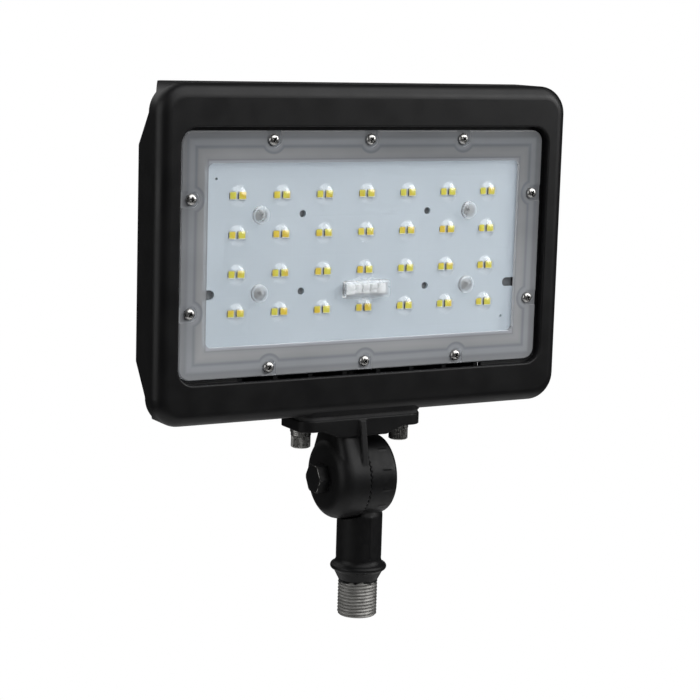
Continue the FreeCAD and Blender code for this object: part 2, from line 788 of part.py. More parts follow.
def make_knuckle_plate():
    """Mounting plate with the left half of the drum hanging from it."""
    plate = plate_outline(0, plate_hub_under, plate_top)
    points = [(-plate_half_x, plate_top), (-plate_half_x, plate_under), (-hub_end, plate_under),
              (-plate_hub_half, plate_hub_under), (plate_hub_half, plate_hub_under), (hub_end, plate_under),
              (plate_half_x, plate_under), (plate_half_x, plate_top)]
    plate = plate.common(prism([Vec(x, 0, z) for x, z in points], Y * (plate_front + plate_depth + 1)))
    plate.translate(head_move)
    plate_low = plate_hub_under + head_move.z
    disc = rod(left_radius, drum_axis(left_end), X, left_seam - left_end)
    disc = disc.makeFillet(left_round, edges_at_x(disc, left_end))
    neck_start = left_end + neck_inset
    neck_plan = flared(neck_start, neck_half_depth, neck_flare_angle, plate_low + weld)
    neck = prism(neck_plan, X * (left_seam - neck_start))
    sides = [e for e in edges_at_x(neck, neck_start) if e.BoundBox.ZLength > weld]
    neck = neck.makeFillet(neck_round, sides)
    web_top = plate_top + head_move.z - web_top_drop
    web_plan = flared(left_seam - web_thick, plate_depth / 2 + web_stand, web_foot_angle, web_top)
    web = prism(web_plan, X * web_thick)
    ridges = teeth(tooth_height, tooth_base / 2, left_seam, tooth_inner, left_radius - tooth_rim_room)
    whole = plate.fuse([disc, neck, web]).removeSplitter()
    plate_all = plate_thick + plate_hub_drop
    way_low = pivot_height + (hub_radius + cavity_outer) / 2
    way_start = Vec(head_move.x + wire_way_x, head_move.y + wire_way_y, way_low)
    cuts = [ring_cut(hub_radius, cavity_outer, left_seam - cavity_depth, left_seam + 1),
            rod(pivot_radius + pivot_room, drum_axis(left_end - 1), X, left_half + 2),
            rod(wire_way_radius, way_start, Z, plate_low + plate_all - way_low + 1)]
    for x in plate_bolts:
        bolt_start = Vec(head_move.x + x, 0, plate_low - 1)
        cuts.append(rod(bolt_radius + bolt_hole_room, bolt_start, Z, plate_all + 2))
    return whole.cut(cuts).fuse(ridges).removeSplitter()


def make_pivot_bolt():
    start = left_end - pivot_head_gap
    head_start = start - pivot_head_height
    head = hexagon(pivot_head_flats, drum_axis(head_start), X, pivot_head_height, Y)
    bar = rod(pivot_head_flats / math.sqrt(3), drum_axis(head_start), X, pivot_head_height)
    bar = bar.makeChamfer(pivot_head_chamfer, edges_at_x(bar, head_start))
    shank = rod(pivot_radius, drum_axis(start), X, right_end - start - nut_room)
    return head.common(bar).fuse(shank).removeSplitter()


def make_nut():
    start = right_end - nut_height
    nut = hexagon(pivot_head_flats, drum_axis(start), X, nut_height, Y)
    return nut.cut(rod(pivot_radius + pivot_room, drum_axis(start - 1), X, nut_height + 2))


def make_seal():
    start = right_seam - seal_stand
    return ring_cut(seal_inner, seal_outer, start, start + seal_thick + seal_stand)


def stem_profile():
    """Outline of stem, collar and threaded end, turned about Z."""
    neck_z = shoulder + collar_height
    rim_low = shoulder + collar_cone
    rim_top = neck_z - collar_fillet
    collar_radius = stem_radius + collar_stand
    rim_in = collar_radius - (rim_top - rim_low) / 2
    half_turn = math.sqrt(0.5)
    waist = Vec(stem_radius, 0, neck_z)
    rim_start = Vec(rim_in, 0, rim_top)
    bend = Vec(rim_in - (rim_in - stem_radius) * half_turn, 0, neck_z - collar_fillet * half_turn)
    rim_end = Vec(rim_in, 0, rim_low)
    taper_z = pivot_height - right_radius
    top_z = taper_z + stem_top_taper
    top_radius = stem_radius - stem_top_inset
    lines = [Vec(0, 0, top_z), Vec(top_radius, 0, top_z), Vec(stem_radius, 0, taper_z), waist]
    edges = [Part.LineSegment(a, b).toShape() for a, b in zip(lines, lines[1:])]
    edges.append(Part.Arc(waist, bend, rim_start).toShape())
    edges.append(Part.Arc(rim_start, Vec(collar_radius, 0, (rim_top + rim_low) / 2), rim_end).toShape())
    lines = [rim_end, Vec(thread_radius, 0, shoulder), Vec(thread_radius, 0, thread_end + thread_chamfer),
             Vec(thread_radius - thread_chamfer, 0, thread_end), Vec(0, 0, thread_end), Vec(0, 0, top_z)]
    edges += [Part.LineSegment(a, b).toShape() for a, b in zip(lines, lines[1:])]
    return Part.Face(Part.Wire(edges)).revolve(Vec(0, 0, 0), Z, 360)


def make_stem():
    """Right half of the drum with the stem, its collar and the pipe thread."""
    disc = rod(right_radius, drum_axis(right_seam), X, right_end - right_seam)
    disc = disc.makeFillet(right_round, edges_at_x(disc, right_end))
    saddle_start = drum_axis(right_seam - 2 * left_half)
    saddle = rod(left_radius + saddle_room, saddle_start, X, 2 * left_half + saddle_over)
    stem = stem_profile().cut(saddle)
    neck_z = shoulder + collar_height
    ridges = []
    for side in (-1, 1):
        ridge_y = side * (stem_radius - ridge_radius / 4)
        ridges.append(rod(ridge_radius, Vec(0, ridge_y, neck_z), Z, stem_length))
    ticks = []
    for i in range(tick_count):
        tick = box(right_end - tick_inset - tick_length, right_end - tick_inset, -right_radius - tick_height,
                   -right_radius + 1, -tick_width / 2, tick_width / 2)
        tick.rotate(Vec(0, 0, 0), X, -(tick_first + tick_step * i))
        tick.translate(Z * pivot_height)
        ticks.append(tick)
    body = stem.fuse([disc] + ridges + ticks).removeSplitter()
    lift = tooth_gap * math.hypot(tooth_height, tooth_base / 2) / (tooth_base / 2)
    groove_top = tooth_height + lift
    groove_half = (groove_top - half_gap) * (tooth_base / 2) / tooth_height
    groove_inner = seal_outer + seal_margin / 2
    grooves = teeth(groove_top - half_gap, groove_half, right_seam, groove_inner, right_radius + 1)
    cuts = [ring_cut(hub_radius, cavity_outer, right_seam - 1, right_seam + cavity_depth),
            ring_cut(seal_inner - seal_room, seal_outer + seal_room, right_seam - 1, right_seam + seal_thick),
            rod(pivot_radius + pivot_room, drum_axis(right_seam - 1), X, right_half + 2),
            hexagon(pivot_head_flats + 2 * nut_room, drum_axis(right_end - nut_height), X, nut_height + 1, Y),
            rod(wire_bore_radius, Vec(0, 0, thread_end - 1), Z, wire_bore_top - thread_end + 1),
            rod(passage_radius, Vec(passage_x, 0, wire_bore_top - 1), Z,
                pivot_height - (hub_radius + cavity_outer) / 2 - wire_bore_top + 1)]
    return body.cut(cuts).cut(grooves)


export("housing", make_housing())
export("lens_cover", make_lens())
export("lens_gasket", gasket_band(0, flange_back, gasket_back))
export("lens_screws", Part.makeCompound([
    pan_screw(lens_screw_radius, lens_screw_length, lens_screw_head_radius, lens_screw_head_height,
              Vec(x, screw_seat, z), Y) for x, z in lens_screws]))
export("led_board", make_board())
export("led_chips", make_chips())
export("board_connector", make_connector())
export("board_screws", Part.makeCompound([
    pan_screw(board_screw_radius, board_screw_length, board_screw_head_radius, board_screw_head_height,
              Vec(x, board_front, z), Y) for x, z in board_screws]))
export("thermal_pad", make_pad())
export("board_leads", make_leads())
export("driver_case", make_driver_case())
export("driver_potting", make_potting())
export("driver_screws", Part.makeCompound([
    pan_screw(driver_screw_radius, driver_screw_length, driver_screw_head_radius, driver_screw_head_height,
              Vec(x, floor_back + driver_lug_thick, z), -Y) for x, z in driver_screws]))
export("driver_cover", make_cover())
export("cover_gasket", make_cover_gasket())
export("cover_screws", Part.makeCompound([
    pan_screw(cover_screw_radius, cover_screw_length, cover_screw_head_radius, cover_screw_head_height,
              Vec(x, cover_back, z), -Y) for x, z in cover_screws]))
export("wire_grommet", make_grommet())
export("mount_gasket", make_mount_gasket())
export("knuckle_plate", make_knuckle_plate(), in_head=False)
export("plate_bolts", make_bolts())
export("plate_washers", make_flat_washers())
export("plate_spring_washers", make_spring_washers())
export("pivot_bolt", make_pivot_bolt(), in_head=False)
export("pivot_nut", make_nut(), in_head=False)
export("knuckle_seal", make_seal(), in_head=False)
export("knuckle_stem", make_stem(), in_head=False)
print("pivot height", pivot_height, "head middle", head_move)
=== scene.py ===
import bpy
import bmesh
import math
from mathutils import Matrix, Vector


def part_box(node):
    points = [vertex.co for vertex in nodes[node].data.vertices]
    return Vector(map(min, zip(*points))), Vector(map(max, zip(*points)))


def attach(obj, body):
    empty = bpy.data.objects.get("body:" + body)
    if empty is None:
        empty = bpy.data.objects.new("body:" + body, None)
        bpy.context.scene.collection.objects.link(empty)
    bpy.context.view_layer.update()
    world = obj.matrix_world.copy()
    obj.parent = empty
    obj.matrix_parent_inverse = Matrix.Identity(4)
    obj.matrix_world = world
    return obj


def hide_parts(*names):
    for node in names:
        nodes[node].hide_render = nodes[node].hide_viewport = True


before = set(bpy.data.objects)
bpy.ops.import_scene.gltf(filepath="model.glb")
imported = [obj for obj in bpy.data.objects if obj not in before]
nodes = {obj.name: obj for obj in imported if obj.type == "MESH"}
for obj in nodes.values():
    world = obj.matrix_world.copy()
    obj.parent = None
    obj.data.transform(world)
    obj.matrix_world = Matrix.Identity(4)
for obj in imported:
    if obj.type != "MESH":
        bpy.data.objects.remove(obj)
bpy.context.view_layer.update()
scene = bpy.context.scene
scene.view_settings.view_transform = "Standard"
mm = 0.001    # sizes and places of the pieces are written in millimetres
print("frame loaded,", len(nodes), "nodes")

boardLow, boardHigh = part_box("led_board")
headMid = (boardLow + boardHigh) / 2    # middle of the grid of chips


# Node helpers for materials
def newMaterial(name):
    material = bpy.data.materials.new(name)
    material.use_nodes = True
    tree = material.node_tree
    tree.nodes.clear()
    shader = tree.nodes.new("ShaderNodeBsdfPrincipled")
    result = tree.nodes.new("ShaderNodeOutputMaterial")
    tree.links.new(shader.outputs["BSDF"], result.inputs["Surface"])
    place = tree.nodes.new("ShaderNodeTexCoord").outputs["Object"]
    return material, tree, shader, place


def addNode(tree, kind, inputs=(), **settings):
    node = tree.nodes.new(kind)
    for key, value in settings.items():
        setattr(node, key, value)
    for key, value in dict(inputs).items():
        if isinstance(value, bpy.types.NodeSocket):
            tree.links.new(value, node.inputs[key])
        else:
            node.inputs[key].default_value = value
    return node


def calc(tree, operation, first, second=0.0):
    return addNode(tree, "ShaderNodeMath", {0: first, 1: second}, operation=operation).outputs[0]


def dotProduct(tree, first, second):
    node = addNode(tree, "ShaderNodeVectorMath", {0: first, 1: second}, operation="DOT_PRODUCT")
    return node.outputs["Value"]


def distance(tree, first, second):
    squares = [calc(tree, "MULTIPLY", side, side) for side in (first, second)]
    return calc(tree, "SQRT", calc(tree, "ADD", *squares))


def noise(tree, place, scale, detail=2.0, stretch=None):
    if stretch:
        place = addNode(tree, "ShaderNodeMapping", {"Vector": place, "Scale": stretch}).outputs["Vector"]
    inputs = {"Vector": place, "Scale": scale, "Detail": detail}
    return addNode(tree, "ShaderNodeTexNoise", inputs).outputs["Fac"]


def remap(tree, value, low, high, toLow, toHigh):
    inputs = {"Value": value, "From Min": low, "From Max": high, "To Min": toLow, "To Max": toHigh}
    return addNode(tree, "ShaderNodeMapRange", inputs, interpolation_type="SMOOTHSTEP").outputs["Result"]


def mixColour(tree, amount, first, second):
    inputs = {0: amount, 6: first, 7: second}
    return addNode(tree, "ShaderNodeMix", inputs, data_type="RGBA").outputs[2]


def rgb(colour):
    return (*colour, 1.0)


def softNormal(tree, radius, samples=4):
    return addNode(tree, "ShaderNodeBevel", {"Radius": radius}, samples=samples).outputs["Normal"]


def relief(tree, shader, height, depth, normal=None):
    inputs = {"Height": height, "Distance": depth}
    if normal is not None:
        inputs["Normal"] = normal
    bump = addNode(tree, "ShaderNodeBump", inputs)
    tree.links.new(bump.outputs["Normal"], shader.inputs["Normal"])


def splitPlace(tree, place):
    parts = addNode(tree, "ShaderNodeSeparateXYZ", {"Vector": place}).outputs
    return parts["X"], parts["Y"], parts["Z"]


# Most of a noise texture's values lie between these two
noiseLow = 0.3
noiseHigh = 0.7


def setRoughness(tree, shader, pattern, ends):
    tree.links.new(remap(tree, pattern, noiseLow, noiseHigh, *ends), shader.inputs["Roughness"])


# One finish for coats, metals, plastics and rubber: mottled colour, uneven gloss, fine relief.
# A look with a crevice distance is also painted darker in recesses and under heads: painted shade, found by
# ambient occlusion.
recessShadeLook = {"colour": (0.012, 0.012, 0.011), "closedBelow": 0.35, "openAbove": 0.85}


def plainFinish(name, look):
    material, tree, shader, place = newMaterial(name)
    mottle = noise(tree, place, look["mottle"], 3.0)
    colour = mixColour(tree, mottle, rgb(look["colour"]), rgb(look["paler"]))
    if "crevice" in look:
        # Painted shade: the colour goes dark where ambient occlusion finds a recess
        shade = addNode(tree, "ShaderNodeAmbientOcclusion", {"Distance": look["crevice"]}, samples=8)
        openness = remap(tree, shade.outputs["AO"], recessShadeLook["closedBelow"], recessShadeLook["openAbove"], 0.0, 1.0)
        colour = mixColour(tree, openness, rgb(recessShadeLook["colour"]), colour)
    tree.links.new(colour, shader.inputs["Base Color"])
    setRoughness(tree, shader, noise(tree, place, look["mottle"] * 3), look["roughness"])
    shader.inputs["Specular IOR Level"].default_value = look["gloss"]
    shader.inputs["Metallic"].default_value = look.get("metal", 0.0)
    grain = noise(tree, place, look["grain"], 2.0, look.get("stretch"))
    normal = softNormal(tree, look["edge"]) if "edge" in look else None
    relief(tree, shader, grain, look["grainDepth"], normal)
    return material


finishLooks = {
    "satinBlackCoat": {"colour": (0.0022, 0.0022, 0.0025), "paler": (0.0034, 0.0034, 0.0037), "mottle": 22,
                       "roughness": (0.36, 0.44), "gloss": 0.25, "grain": 900, "grainDepth": 0.000022,
                       "edge": 0.0005},
    "dullBlackCoat": {"colour": (0.0026, 0.0026, 0.0029), "paler": (0.004, 0.004, 0.0043), "mottle": 30,
                      "roughness": (0.4, 0.5), "gloss": 0.19, "grain": 900, "grainDepth": 0.000022,
                      "edge": 0.0005},
    "brushedStainless": {"colour": (0.38, 0.376, 0.365), "paler": (0.52, 0.515, 0.5), "mottle": 240,
                         "roughness": (0.2, 0.34), "gloss": 0.5, "metal": 1.0, "grain": 1400,
                         "grainDepth": 0.00001, "edge": 0.00012, "crevice": 0.0011},
    "turnedSteel": {"colour": (0.26, 0.257, 0.247), "paler": (0.42, 0.416, 0.402), "mottle": 200,
                    "roughness": (0.22, 0.4), "gloss": 0.5, "metal": 1.0, "grain": 260, "stretch": (1, 1, 9),
                    "grainDepth": 0.00004, "edge": 0.0002, "crevice": 0.0009},
    "paleZinc": {"colour": (0.22, 0.229, 0.233), "paler": (0.29, 0.299, 0.303), "mottle": 300,
                 "roughness": (0.4, 0.55), "gloss": 0.4, "grain": 1800, "grainDepth": 0.00001},
    "paleSilicone": {"colour": (0.52, 0.55, 0.6), "paler": (0.62, 0.65, 0.7), "mottle": 90,
                     "roughness": (0.4, 0.55), "gloss": 0.4, "grain": 1800, "grainDepth": 0.00001},
    "blackSilicone": {"colour": (0.012, 0.012, 0.012), "paler": (0.03, 0.03, 0.031), "mottle": 120,
                      "roughness": (0.55, 0.7), "gloss": 0.3, "grain": 2200, "grainDepth": 0.00002},
    "chipCeramic": {"colour": (0.72, 0.73, 0.72), "paler": (0.82, 0.83, 0.82), "mottle": 500,
                    "roughness": (0.35, 0.5), "gloss": 0.5, "grain": 6000, "grainDepth": 0.000008},
    "chipSidePaintedShade": {"colour": (0.012, 0.012, 0.01), "paler": (0.03, 0.03, 0.026), "mottle": 700,
                      "roughness": (0.4, 0.55), "gloss": 0.3, "grain": 5000, "grainDepth": 0.00001},
    "terminalNylon": {"colour": (0.7, 0.71, 0.71), "paler": (0.8, 0.81, 0.81), "mottle": 160,
                      "roughness": (0.35, 0.5), "gloss": 0.5, "grain": 2500, "grainDepth": 0.00001,
                      "edge": 0.00015},
    "gapPad": {"colour": (0.14, 0.145, 0.15), "paler": (0.19, 0.195, 0.2), "mottle": 200,
               "roughness": (0.6, 0.75), "gloss": 0.3, "grain": 3000, "grainDepth": 0.00002},
    "leadSleeve": {"colour": (0.45, 0.03, 0.028), "paler": (0.56, 0.045, 0.04), "mottle": 150,
                   "roughness": (0.4, 0.5), "gloss": 0.4, "grain": 2600, "grainDepth": 0.00001},
    "pottingResin": {"colour": (0.05, 0.05, 0.056), "paler": (0.085, 0.085, 0.09), "mottle": 60,
                     "roughness": (0.3, 0.5), "gloss": 0.45, "grain": 700, "grainDepth": 0.00004},
}
finishes = {name: plainFinish(name, look) for name, look in finishLooks.items()}


# Stem: the coat stops in a ragged edge over the first turns of the bare thread. The bare thread has painted
# shade towards the roots of its turns, and grime in random stains.
stemLook = {"coat": (0.0026, 0.0026, 0.0029), "bare": (0.29, 0.286, 0.274), "grimeAndRootShade": (0.16, 0.157, 0.149),
            "coatEdge": 0.0005, "ragged": 0.008, "raggedScale": 210, "blend": 0.0003,
            "rootRadius": 0.0097, "crestRadius": 0.01062, "stainScale": 220, "stainLeast": 0.45,
            "shineScale": 300, "coatRoughness": (0.4, 0.5), "bareRoughness": (0.42, 0.62), "gloss": 0.19,
            "grain": 900, "grainDepth": 0.000022, "edge": 0.0004}


def stemFinish():
    look = stemLook
    material, tree, shader, place = newMaterial("stemCoatAndThread")
    x, y, z = splitPlace(tree, place)
    wander = calc(tree, "MULTIPLY", noise(tree, place, look["raggedScale"], 5.0), look["ragged"])
    middle = look["coatEdge"] + look["ragged"] / 2
    height = calc(tree, "ADD", z, wander)
    bare = remap(tree, height, middle - look["blend"], middle + look["blend"], 1.0, 0.0)
    # Painted shade: the bare metal is darker towards the roots of the turns
    crest = remap(tree, distance(tree, x, y), look["rootRadius"], look["crestRadius"], 0.0, 1.0)
    stain = noise(tree, place, look["stainScale"], 4.0)
    bareShare = calc(tree, "MULTIPLY", crest, remap(tree, stain, noiseLow, noiseHigh, look["stainLeast"], 1.0))
    metal = mixColour(tree, bareShare, rgb(look["grimeAndRootShade"]), rgb(look["bare"]))
    tree.links.new(mixColour(tree, bare, rgb(look["coat"]), metal), shader.inputs["Base Color"])
    tree.links.new(bare, shader.inputs["Metallic"])
    shine = noise(tree, place, look["shineScale"], 3.0)
    coatRough = remap(tree, shine, noiseLow, noiseHigh, *look["coatRoughness"])
    bareRough = remap(tree, shine, noiseLow, noiseHigh, *look["bareRoughness"])
    rough = addNode(tree, "ShaderNodeMix", {0: bare, 2: coatRough, 3: bareRough}).outputs[0]
    tree.links.new(rough, shader.inputs["Roughness"])
    shader.inputs["Specular IOR Level"].default_value = look["gloss"]
    grain = noise(tree, place, look["grain"])
    relief(tree, shader, grain, look["grainDepth"], softNormal(tree, look["edge"]))
    return material


# Black steel, worn bright on the edges at the front of the pivot bolt's head
wornLook = {"black": (0.003, 0.003, 0.0033), "bright": (0.42, 0.41, 0.4), "edge": 0.0006, "gloss": 0.16,
            "reach": 0.0016, "frontOf": -0.0015, "frontBlend": 0.001, "edgeFrom": 0.985, "edgeFull": 0.9,
            "patchScale": 420, "patchFrom": 0.38, "patchFull": 0.55, "roughScale": 500,
            "roughness": (0.44, 0.58), "grain": 1500, "grainDepth": 0.00001}


def wornFinish():
    look = wornLook
    material, tree, shader, place = newMaterial("wornBlackSteel")
    normal = softNormal(tree, look["edge"], 8)
    flat = addNode(tree, "ShaderNodeNewGeometry").outputs["Normal"]
    wear = remap(tree, dotProduct(tree, normal, flat), look["edgeFull"], look["edgeFrom"], 1.0, 0.0)
    patches = noise(tree, place, look["patchScale"], 4.0)
    x, y, z = splitPlace(tree, place)
    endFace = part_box("pivot_bolt")[0].x
    masks = (remap(tree, patches, look["patchFrom"], look["patchFull"], 0.0, 1.0),
             remap(tree, x, endFace + look["reach"] / 2, endFace + look["reach"], 1.0, 0.0),
             remap(tree, y, look["frontOf"] - look["frontBlend"], look["frontOf"], 1.0, 0.0))
    for mask in masks:
        wear = calc(tree, "MULTIPLY", wear, mask)
    colour = mixColour(tree, wear, rgb(look["black"]), rgb(look["bright"]))
    tree.links.new(colour, shader.inputs["Base Color"])
    tree.links.new(wear, shader.inputs["Metallic"])
    setRoughness(tree, shader, noise(tree, place, look["roughScale"]), look["roughness"])
    shader.inputs["Specular IOR Level"].default_value = look["gloss"]
    relief(tree, shader, noise(tree, place, look["grain"]), look["grainDepth"], normal)
    return material


# White mask over copper: faint raised tracks, slightly uneven tint
boardLook = {"colour": (0.48, 0.535, 0.58), "paler": (0.56, 0.615, 0.66), "tintScale": 16, "gloss": 0.4,
             "roughScale": 90, "roughness": (0.34, 0.48), "trackDepth": 0.000012, "trackWidth": 0.025,
             "trackHeight": 0.02, "trackGap": 0.0006, "gapSoftness": 0.4, "grain": 1500, "grainShare": 0.15}


def boardFinish():
    look = boardLook
    material, tree, shader, place = newMaterial("boardMask")
    tint = noise(tree, place, look["tintScale"])
    colour = mixColour(tree, tint, rgb(look["colour"]), rgb(look["paler"]))
    tree.links.new(colour, shader.inputs["Base Color"])
    setRoughness(tree, shader, noise(tree, place, look["roughScale"]), look["roughness"])
    shader.inputs["Specular IOR Level"].default_value = look["gloss"]
    x, y, z = splitPlace(tree, place)
    front = addNode(tree, "ShaderNodeCombineXYZ", {"X": x, "Y": z}).outputs["Vector"]
    inputs = {"Vector": front, "Scale": 1.0, "Brick Width": look["trackWidth"],
              "Row Height": look["trackHeight"], "Mortar Size": look["trackGap"],
              "Mortar Smooth": look["gapSoftness"]}
    gap = addNode(tree, "ShaderNodeTexBrick", inputs, offset=0.0).outputs["Fac"]
    grain = calc(tree, "MULTIPLY", noise(tree, place, look["grain"]), look["grainShare"])
    relief(tree, shader, calc(tree, "SUBTRACT", grain, gap), look["trackDepth"])
    return material


# Phosphor: granular yellow, a little deeper in patches
phosphorLook = {"lemon": (0.6, 0.55, 0.055), "amber": (0.66, 0.46, 0.03), "paler": (0.74, 0.68, 0.2),
                "batchScale": 170, "batchLow": 0.35, "batchHigh": 0.65, "speckleScale": 2600,
                "speckleFrom": 0.45, "speckleFull": 0.8, "roughness": (0.4, 0.55), "gloss": 0.2,
                "grain": 5200, "grainDepth": 0.00001}


def phosphorFinish():
    look = phosphorLook
    material, tree, shader, place = newMaterial("chipPhosphor")
    batch = noise(tree, place, look["batchScale"], 0.0)
    batch = remap(tree, batch, look["batchLow"], look["batchHigh"], 0.0, 1.0)
    tone = mixColour(tree, batch, rgb(look["lemon"]), rgb(look["amber"]))
    speckle = noise(tree, place, look["speckleScale"], 3.0)
    pale = remap(tree, speckle, look["speckleFrom"], look["speckleFull"], 0.0, 1.0)
    tree.links.new(mixColour(tree, pale, tone, rgb(look["paler"])), shader.inputs["Base Color"])
    setRoughness(tree, shader, speckle, look["roughness"])
    shader.inputs["Specular IOR Level"].default_value = look["gloss"]
    relief(tree, shader, noise(tree, place, look["grain"]), look["grainDepth"])
    return material


# Places of the lens screws, from the middle of the head
lensScrewPlaces = {"spreadX": 56.7, "spreadZ": 28.7, "sideX": 102.0, "endZ": 58.1}

# Distance in from the cover's edge, which goes round each screw as the gasket under it does
borderSizes = {"halfX": 107.6, "halfZ": 62.6, "around": 1.3, "near": 7.2, "steep": 4.0}


def borderDistance(tree, place):
    size = borderSizes
    x, y, z = splitPlace(tree, place)
    x = calc(tree, "ABSOLUTE", calc(tree, "SUBTRACT", x, headMid.x))
    z = calc(tree, "ABSOLUTE", calc(tree, "SUBTRACT", z, headMid.z))
    inward = calc(tree, "MINIMUM", calc(tree, "SUBTRACT", size["halfX"] * mm, x),
                  calc(tree, "SUBTRACT", size["halfZ"] * mm, z))
    screws = lensScrewPlaces
    spots = ((0, screws["endZ"]), (screws["spreadX"], screws["endZ"]), (screws["sideX"], screws["spreadZ"]))
    for screwX, screwZ in spots:
        away = distance(tree, calc(tree, "SUBTRACT", x, screwX * mm), calc(tree, "SUBTRACT", z, screwZ * mm))
        past = calc(tree, "MAXIMUM", calc(tree, "SUBTRACT", away, size["near"] * mm), 0.0)
        away = calc(tree, "ADD", away, calc(tree, "MULTIPLY", past, size["steep"]))
        inward = calc(tree, "MINIMUM", inward, calc(tree, "ADD", away, size["around"] * mm))
    return inward


# Bands: darker lines where the gasket's edges show through, painted highlights at the outer edge and at the
# window's edge, painted shade just outside the window's edge, and painted light on the band inside the gasket
def bandColour(tree, place, bands):
    reach = bands[-1][0]
    along = calc(tree, "DIVIDE", borderDistance(tree, place), reach * mm)
    ramp = addNode(tree, "ShaderNodeValToRGB", {"Fac": along})
    stops = ramp.color_ramp.elements
    stops[0].color = rgb(bands[0][1])
    stops[1].color = rgb(bands[-1][1])
    for inward, shade in bands[1:-1]:
        stops.new(inward / reach).color = rgb(shade)
    return ramp.outputs["Color"]


# Clear cover: lamps shine through it, camera and reflected rays see glass.
# A look may get paler towards the bottom, as painted light, and have bands along the cover's edge, which hold
# the gasket's lines and painted highlights and shade.
acrylicIndex = 1.49


def coverFinish(name, look):
    material, tree, shader, place = newMaterial(name)
    streak = noise(tree, place, look["streak"], 3.0, look.get("stretch"))
    # Painted light: paler towards the bottom of the cover
    if "lowerPaler" in look:
        x, y, z = splitPlace(tree, place)
        reach = borderSizes["halfZ"] * mm
        most = look["lowerPaler"]
        streak = calc(tree, "ADD", streak, remap(tree, z, headMid.z - reach, headMid.z + reach, most, -most))
    colour = mixColour(tree, streak, rgb(look["colour"]), rgb(look["paler"]))
    if "bands" in look:
        inputs = {0: 1.0, 6: colour, 7: bandColour(tree, place, look["bands"])}
        colour = addNode(tree, "ShaderNodeMix", inputs, data_type="RGBA", blend_type="MULTIPLY").outputs[2]
    tree.links.new(colour, shader.inputs["Base Color"])
    setRoughness(tree, shader, streak, look["roughness"])
    shader.inputs["IOR"].default_value = acrylicIndex
    shader.inputs["Transmission Weight"].default_value = look["clear"]
    if "wave" in look:
        relief(tree, shader, noise(tree, place, look["wave"], 1.0), look["waveDepth"])
    through = addNode(tree, "ShaderNodeBsdfTransparent", {"Color": rgb(look["shadow"])}).outputs["BSDF"]
    isShadow = addNode(tree, "ShaderNodeLightPath").outputs["Is Shadow Ray"]
    pick = addNode(tree, "ShaderNodeMixShader", {0: isShadow, 1: shader.outputs["BSDF"], 2: through})
    result = next(node for node in tree.nodes if node.type == "OUTPUT_MATERIAL")
    tree.links.new(pick.outputs["Shader"], result.inputs["Surface"])
    return material


coverLooks = {
    "clearCover": {"colour": (0.95, 0.965, 0.975), "paler": (0.98, 0.985, 0.99), "streak": 30,
                   "roughness": (0.04, 0.07), "clear": 1.0, "shadow": (0.92, 0.93, 0.94),
                   "wave": 60, "waveDepth": 0.00002},
    "hazyBorder": {"colour": (0.26, 0.269, 0.28), "paler": (0.47, 0.482, 0.497), "streak": 13,
                   "stretch": (1, 1, 2.5), "lowerPaler": 0.3, "roughness": (0.14, 0.24), "clear": 0.4,
                   "shadow": (0.92, 0.93, 0.95),
                   # Painted highlights at 0 and 15 mm, painted shade at 14.4 mm, painted light at 12 mm; the
                   # dark lines at 3.3 and 7.9 mm mark the gasket's edges
                   "bands": ((0.0, (1.0, 1.0, 1.0)), (0.9, (0.84, 0.84, 0.84)), (2.0, (0.8, 0.8, 0.81)),
                             (3.3, (0.74, 0.75, 0.77)), (4.8, (0.95, 0.96, 0.97)), (6.6, (0.95, 0.96, 0.97)),
                             (7.9, (0.7, 0.72, 0.76)), (9.4, (0.97, 0.97, 0.96)), (12.0, (1.04, 1.03, 1.02)),
                             (13.8, (0.98, 0.98, 0.98)), (14.4, (0.8, 0.8, 0.82)),
                             (15.0, (1.12, 1.12, 1.15)))},
    "frostedBoss": {"colour": (0.93, 0.945, 0.955), "paler": (0.97, 0.98, 0.985), "streak": 90,
                    "roughness": (0.26, 0.31), "clear": 0.97, "shadow": (0.9, 0.91, 0.92)},
    "softDome": {"colour": (0.96, 0.97, 0.98), "paler": (0.98, 0.985, 0.99), "streak": 30,
                 "roughness": (0.13, 0.17), "clear": 1.0, "shadow": (0.94, 0.95, 0.96)},
    # Painted light: a paler copy of the hazy border, for the cover's walls
    "paintedLitEdge": {"colour": (0.72, 0.73, 0.75), "paler": (0.85, 0.86, 0.88), "streak": 40,
                   "roughness": (0.12, 0.2), "clear": 0.3, "shadow": (0.75, 0.76, 0.78)},
}
finishes.update({name: coverFinish(name, look) for name, look in coverLooks.items()})
finishes["stemCoatAndThread"] = stemFinish()
finishes["wornBlackSteel"] = wornFinish()
finishes["boardMask"] = boardFinish()
finishes["chipPhosphor"] = phosphorFinish()
print("finishes made:", len(finishes))


# Mesh helpers
def addObject(name, data):
    added = bpy.data.objects.new(name, data)
    scene.collection.objects.link(added)
    return added


def shadeByAngle(mesh, angle):
    mesh.shade_smooth()
    mesh.set_sharp_from_angle(angle=math.radians(angle))


def meshFrom(name, shape, smoothAngle=35):
    mesh = bpy.data.meshes.new(name)
    bmesh.ops.recalc_face_normals(shape, faces=shape.faces)
    shape.to_mesh(mesh)
    shape.free()
    shadeByAngle(mesh, smoothAngle)
    return mesh


def mergedNode(name):
    source = nodes[name].data
    shape = bmesh.new()
    points = [shape.verts.new(v.co) for v in source.vertices]
    for face in source.polygons:
        shape.faces.new([points[i] for i in face.vertices])
    bmesh.ops.remove_doubles(shape, verts=shape.verts, dist=2e-6)
    bmesh.ops.dissolve_degenerate(shape, edges=shape.edges, dist=1e-7)
    return shape


def bakeModifiers(piece):
    graph = bpy.context.evaluated_depsgraph_get()
    mesh = bpy.data.meshes.new_from_object(piece.evaluated_get(graph))
    piece.modifiers.clear()
    old = piece.data
    piece.data = mesh
    bpy.data.meshes.remove(old)


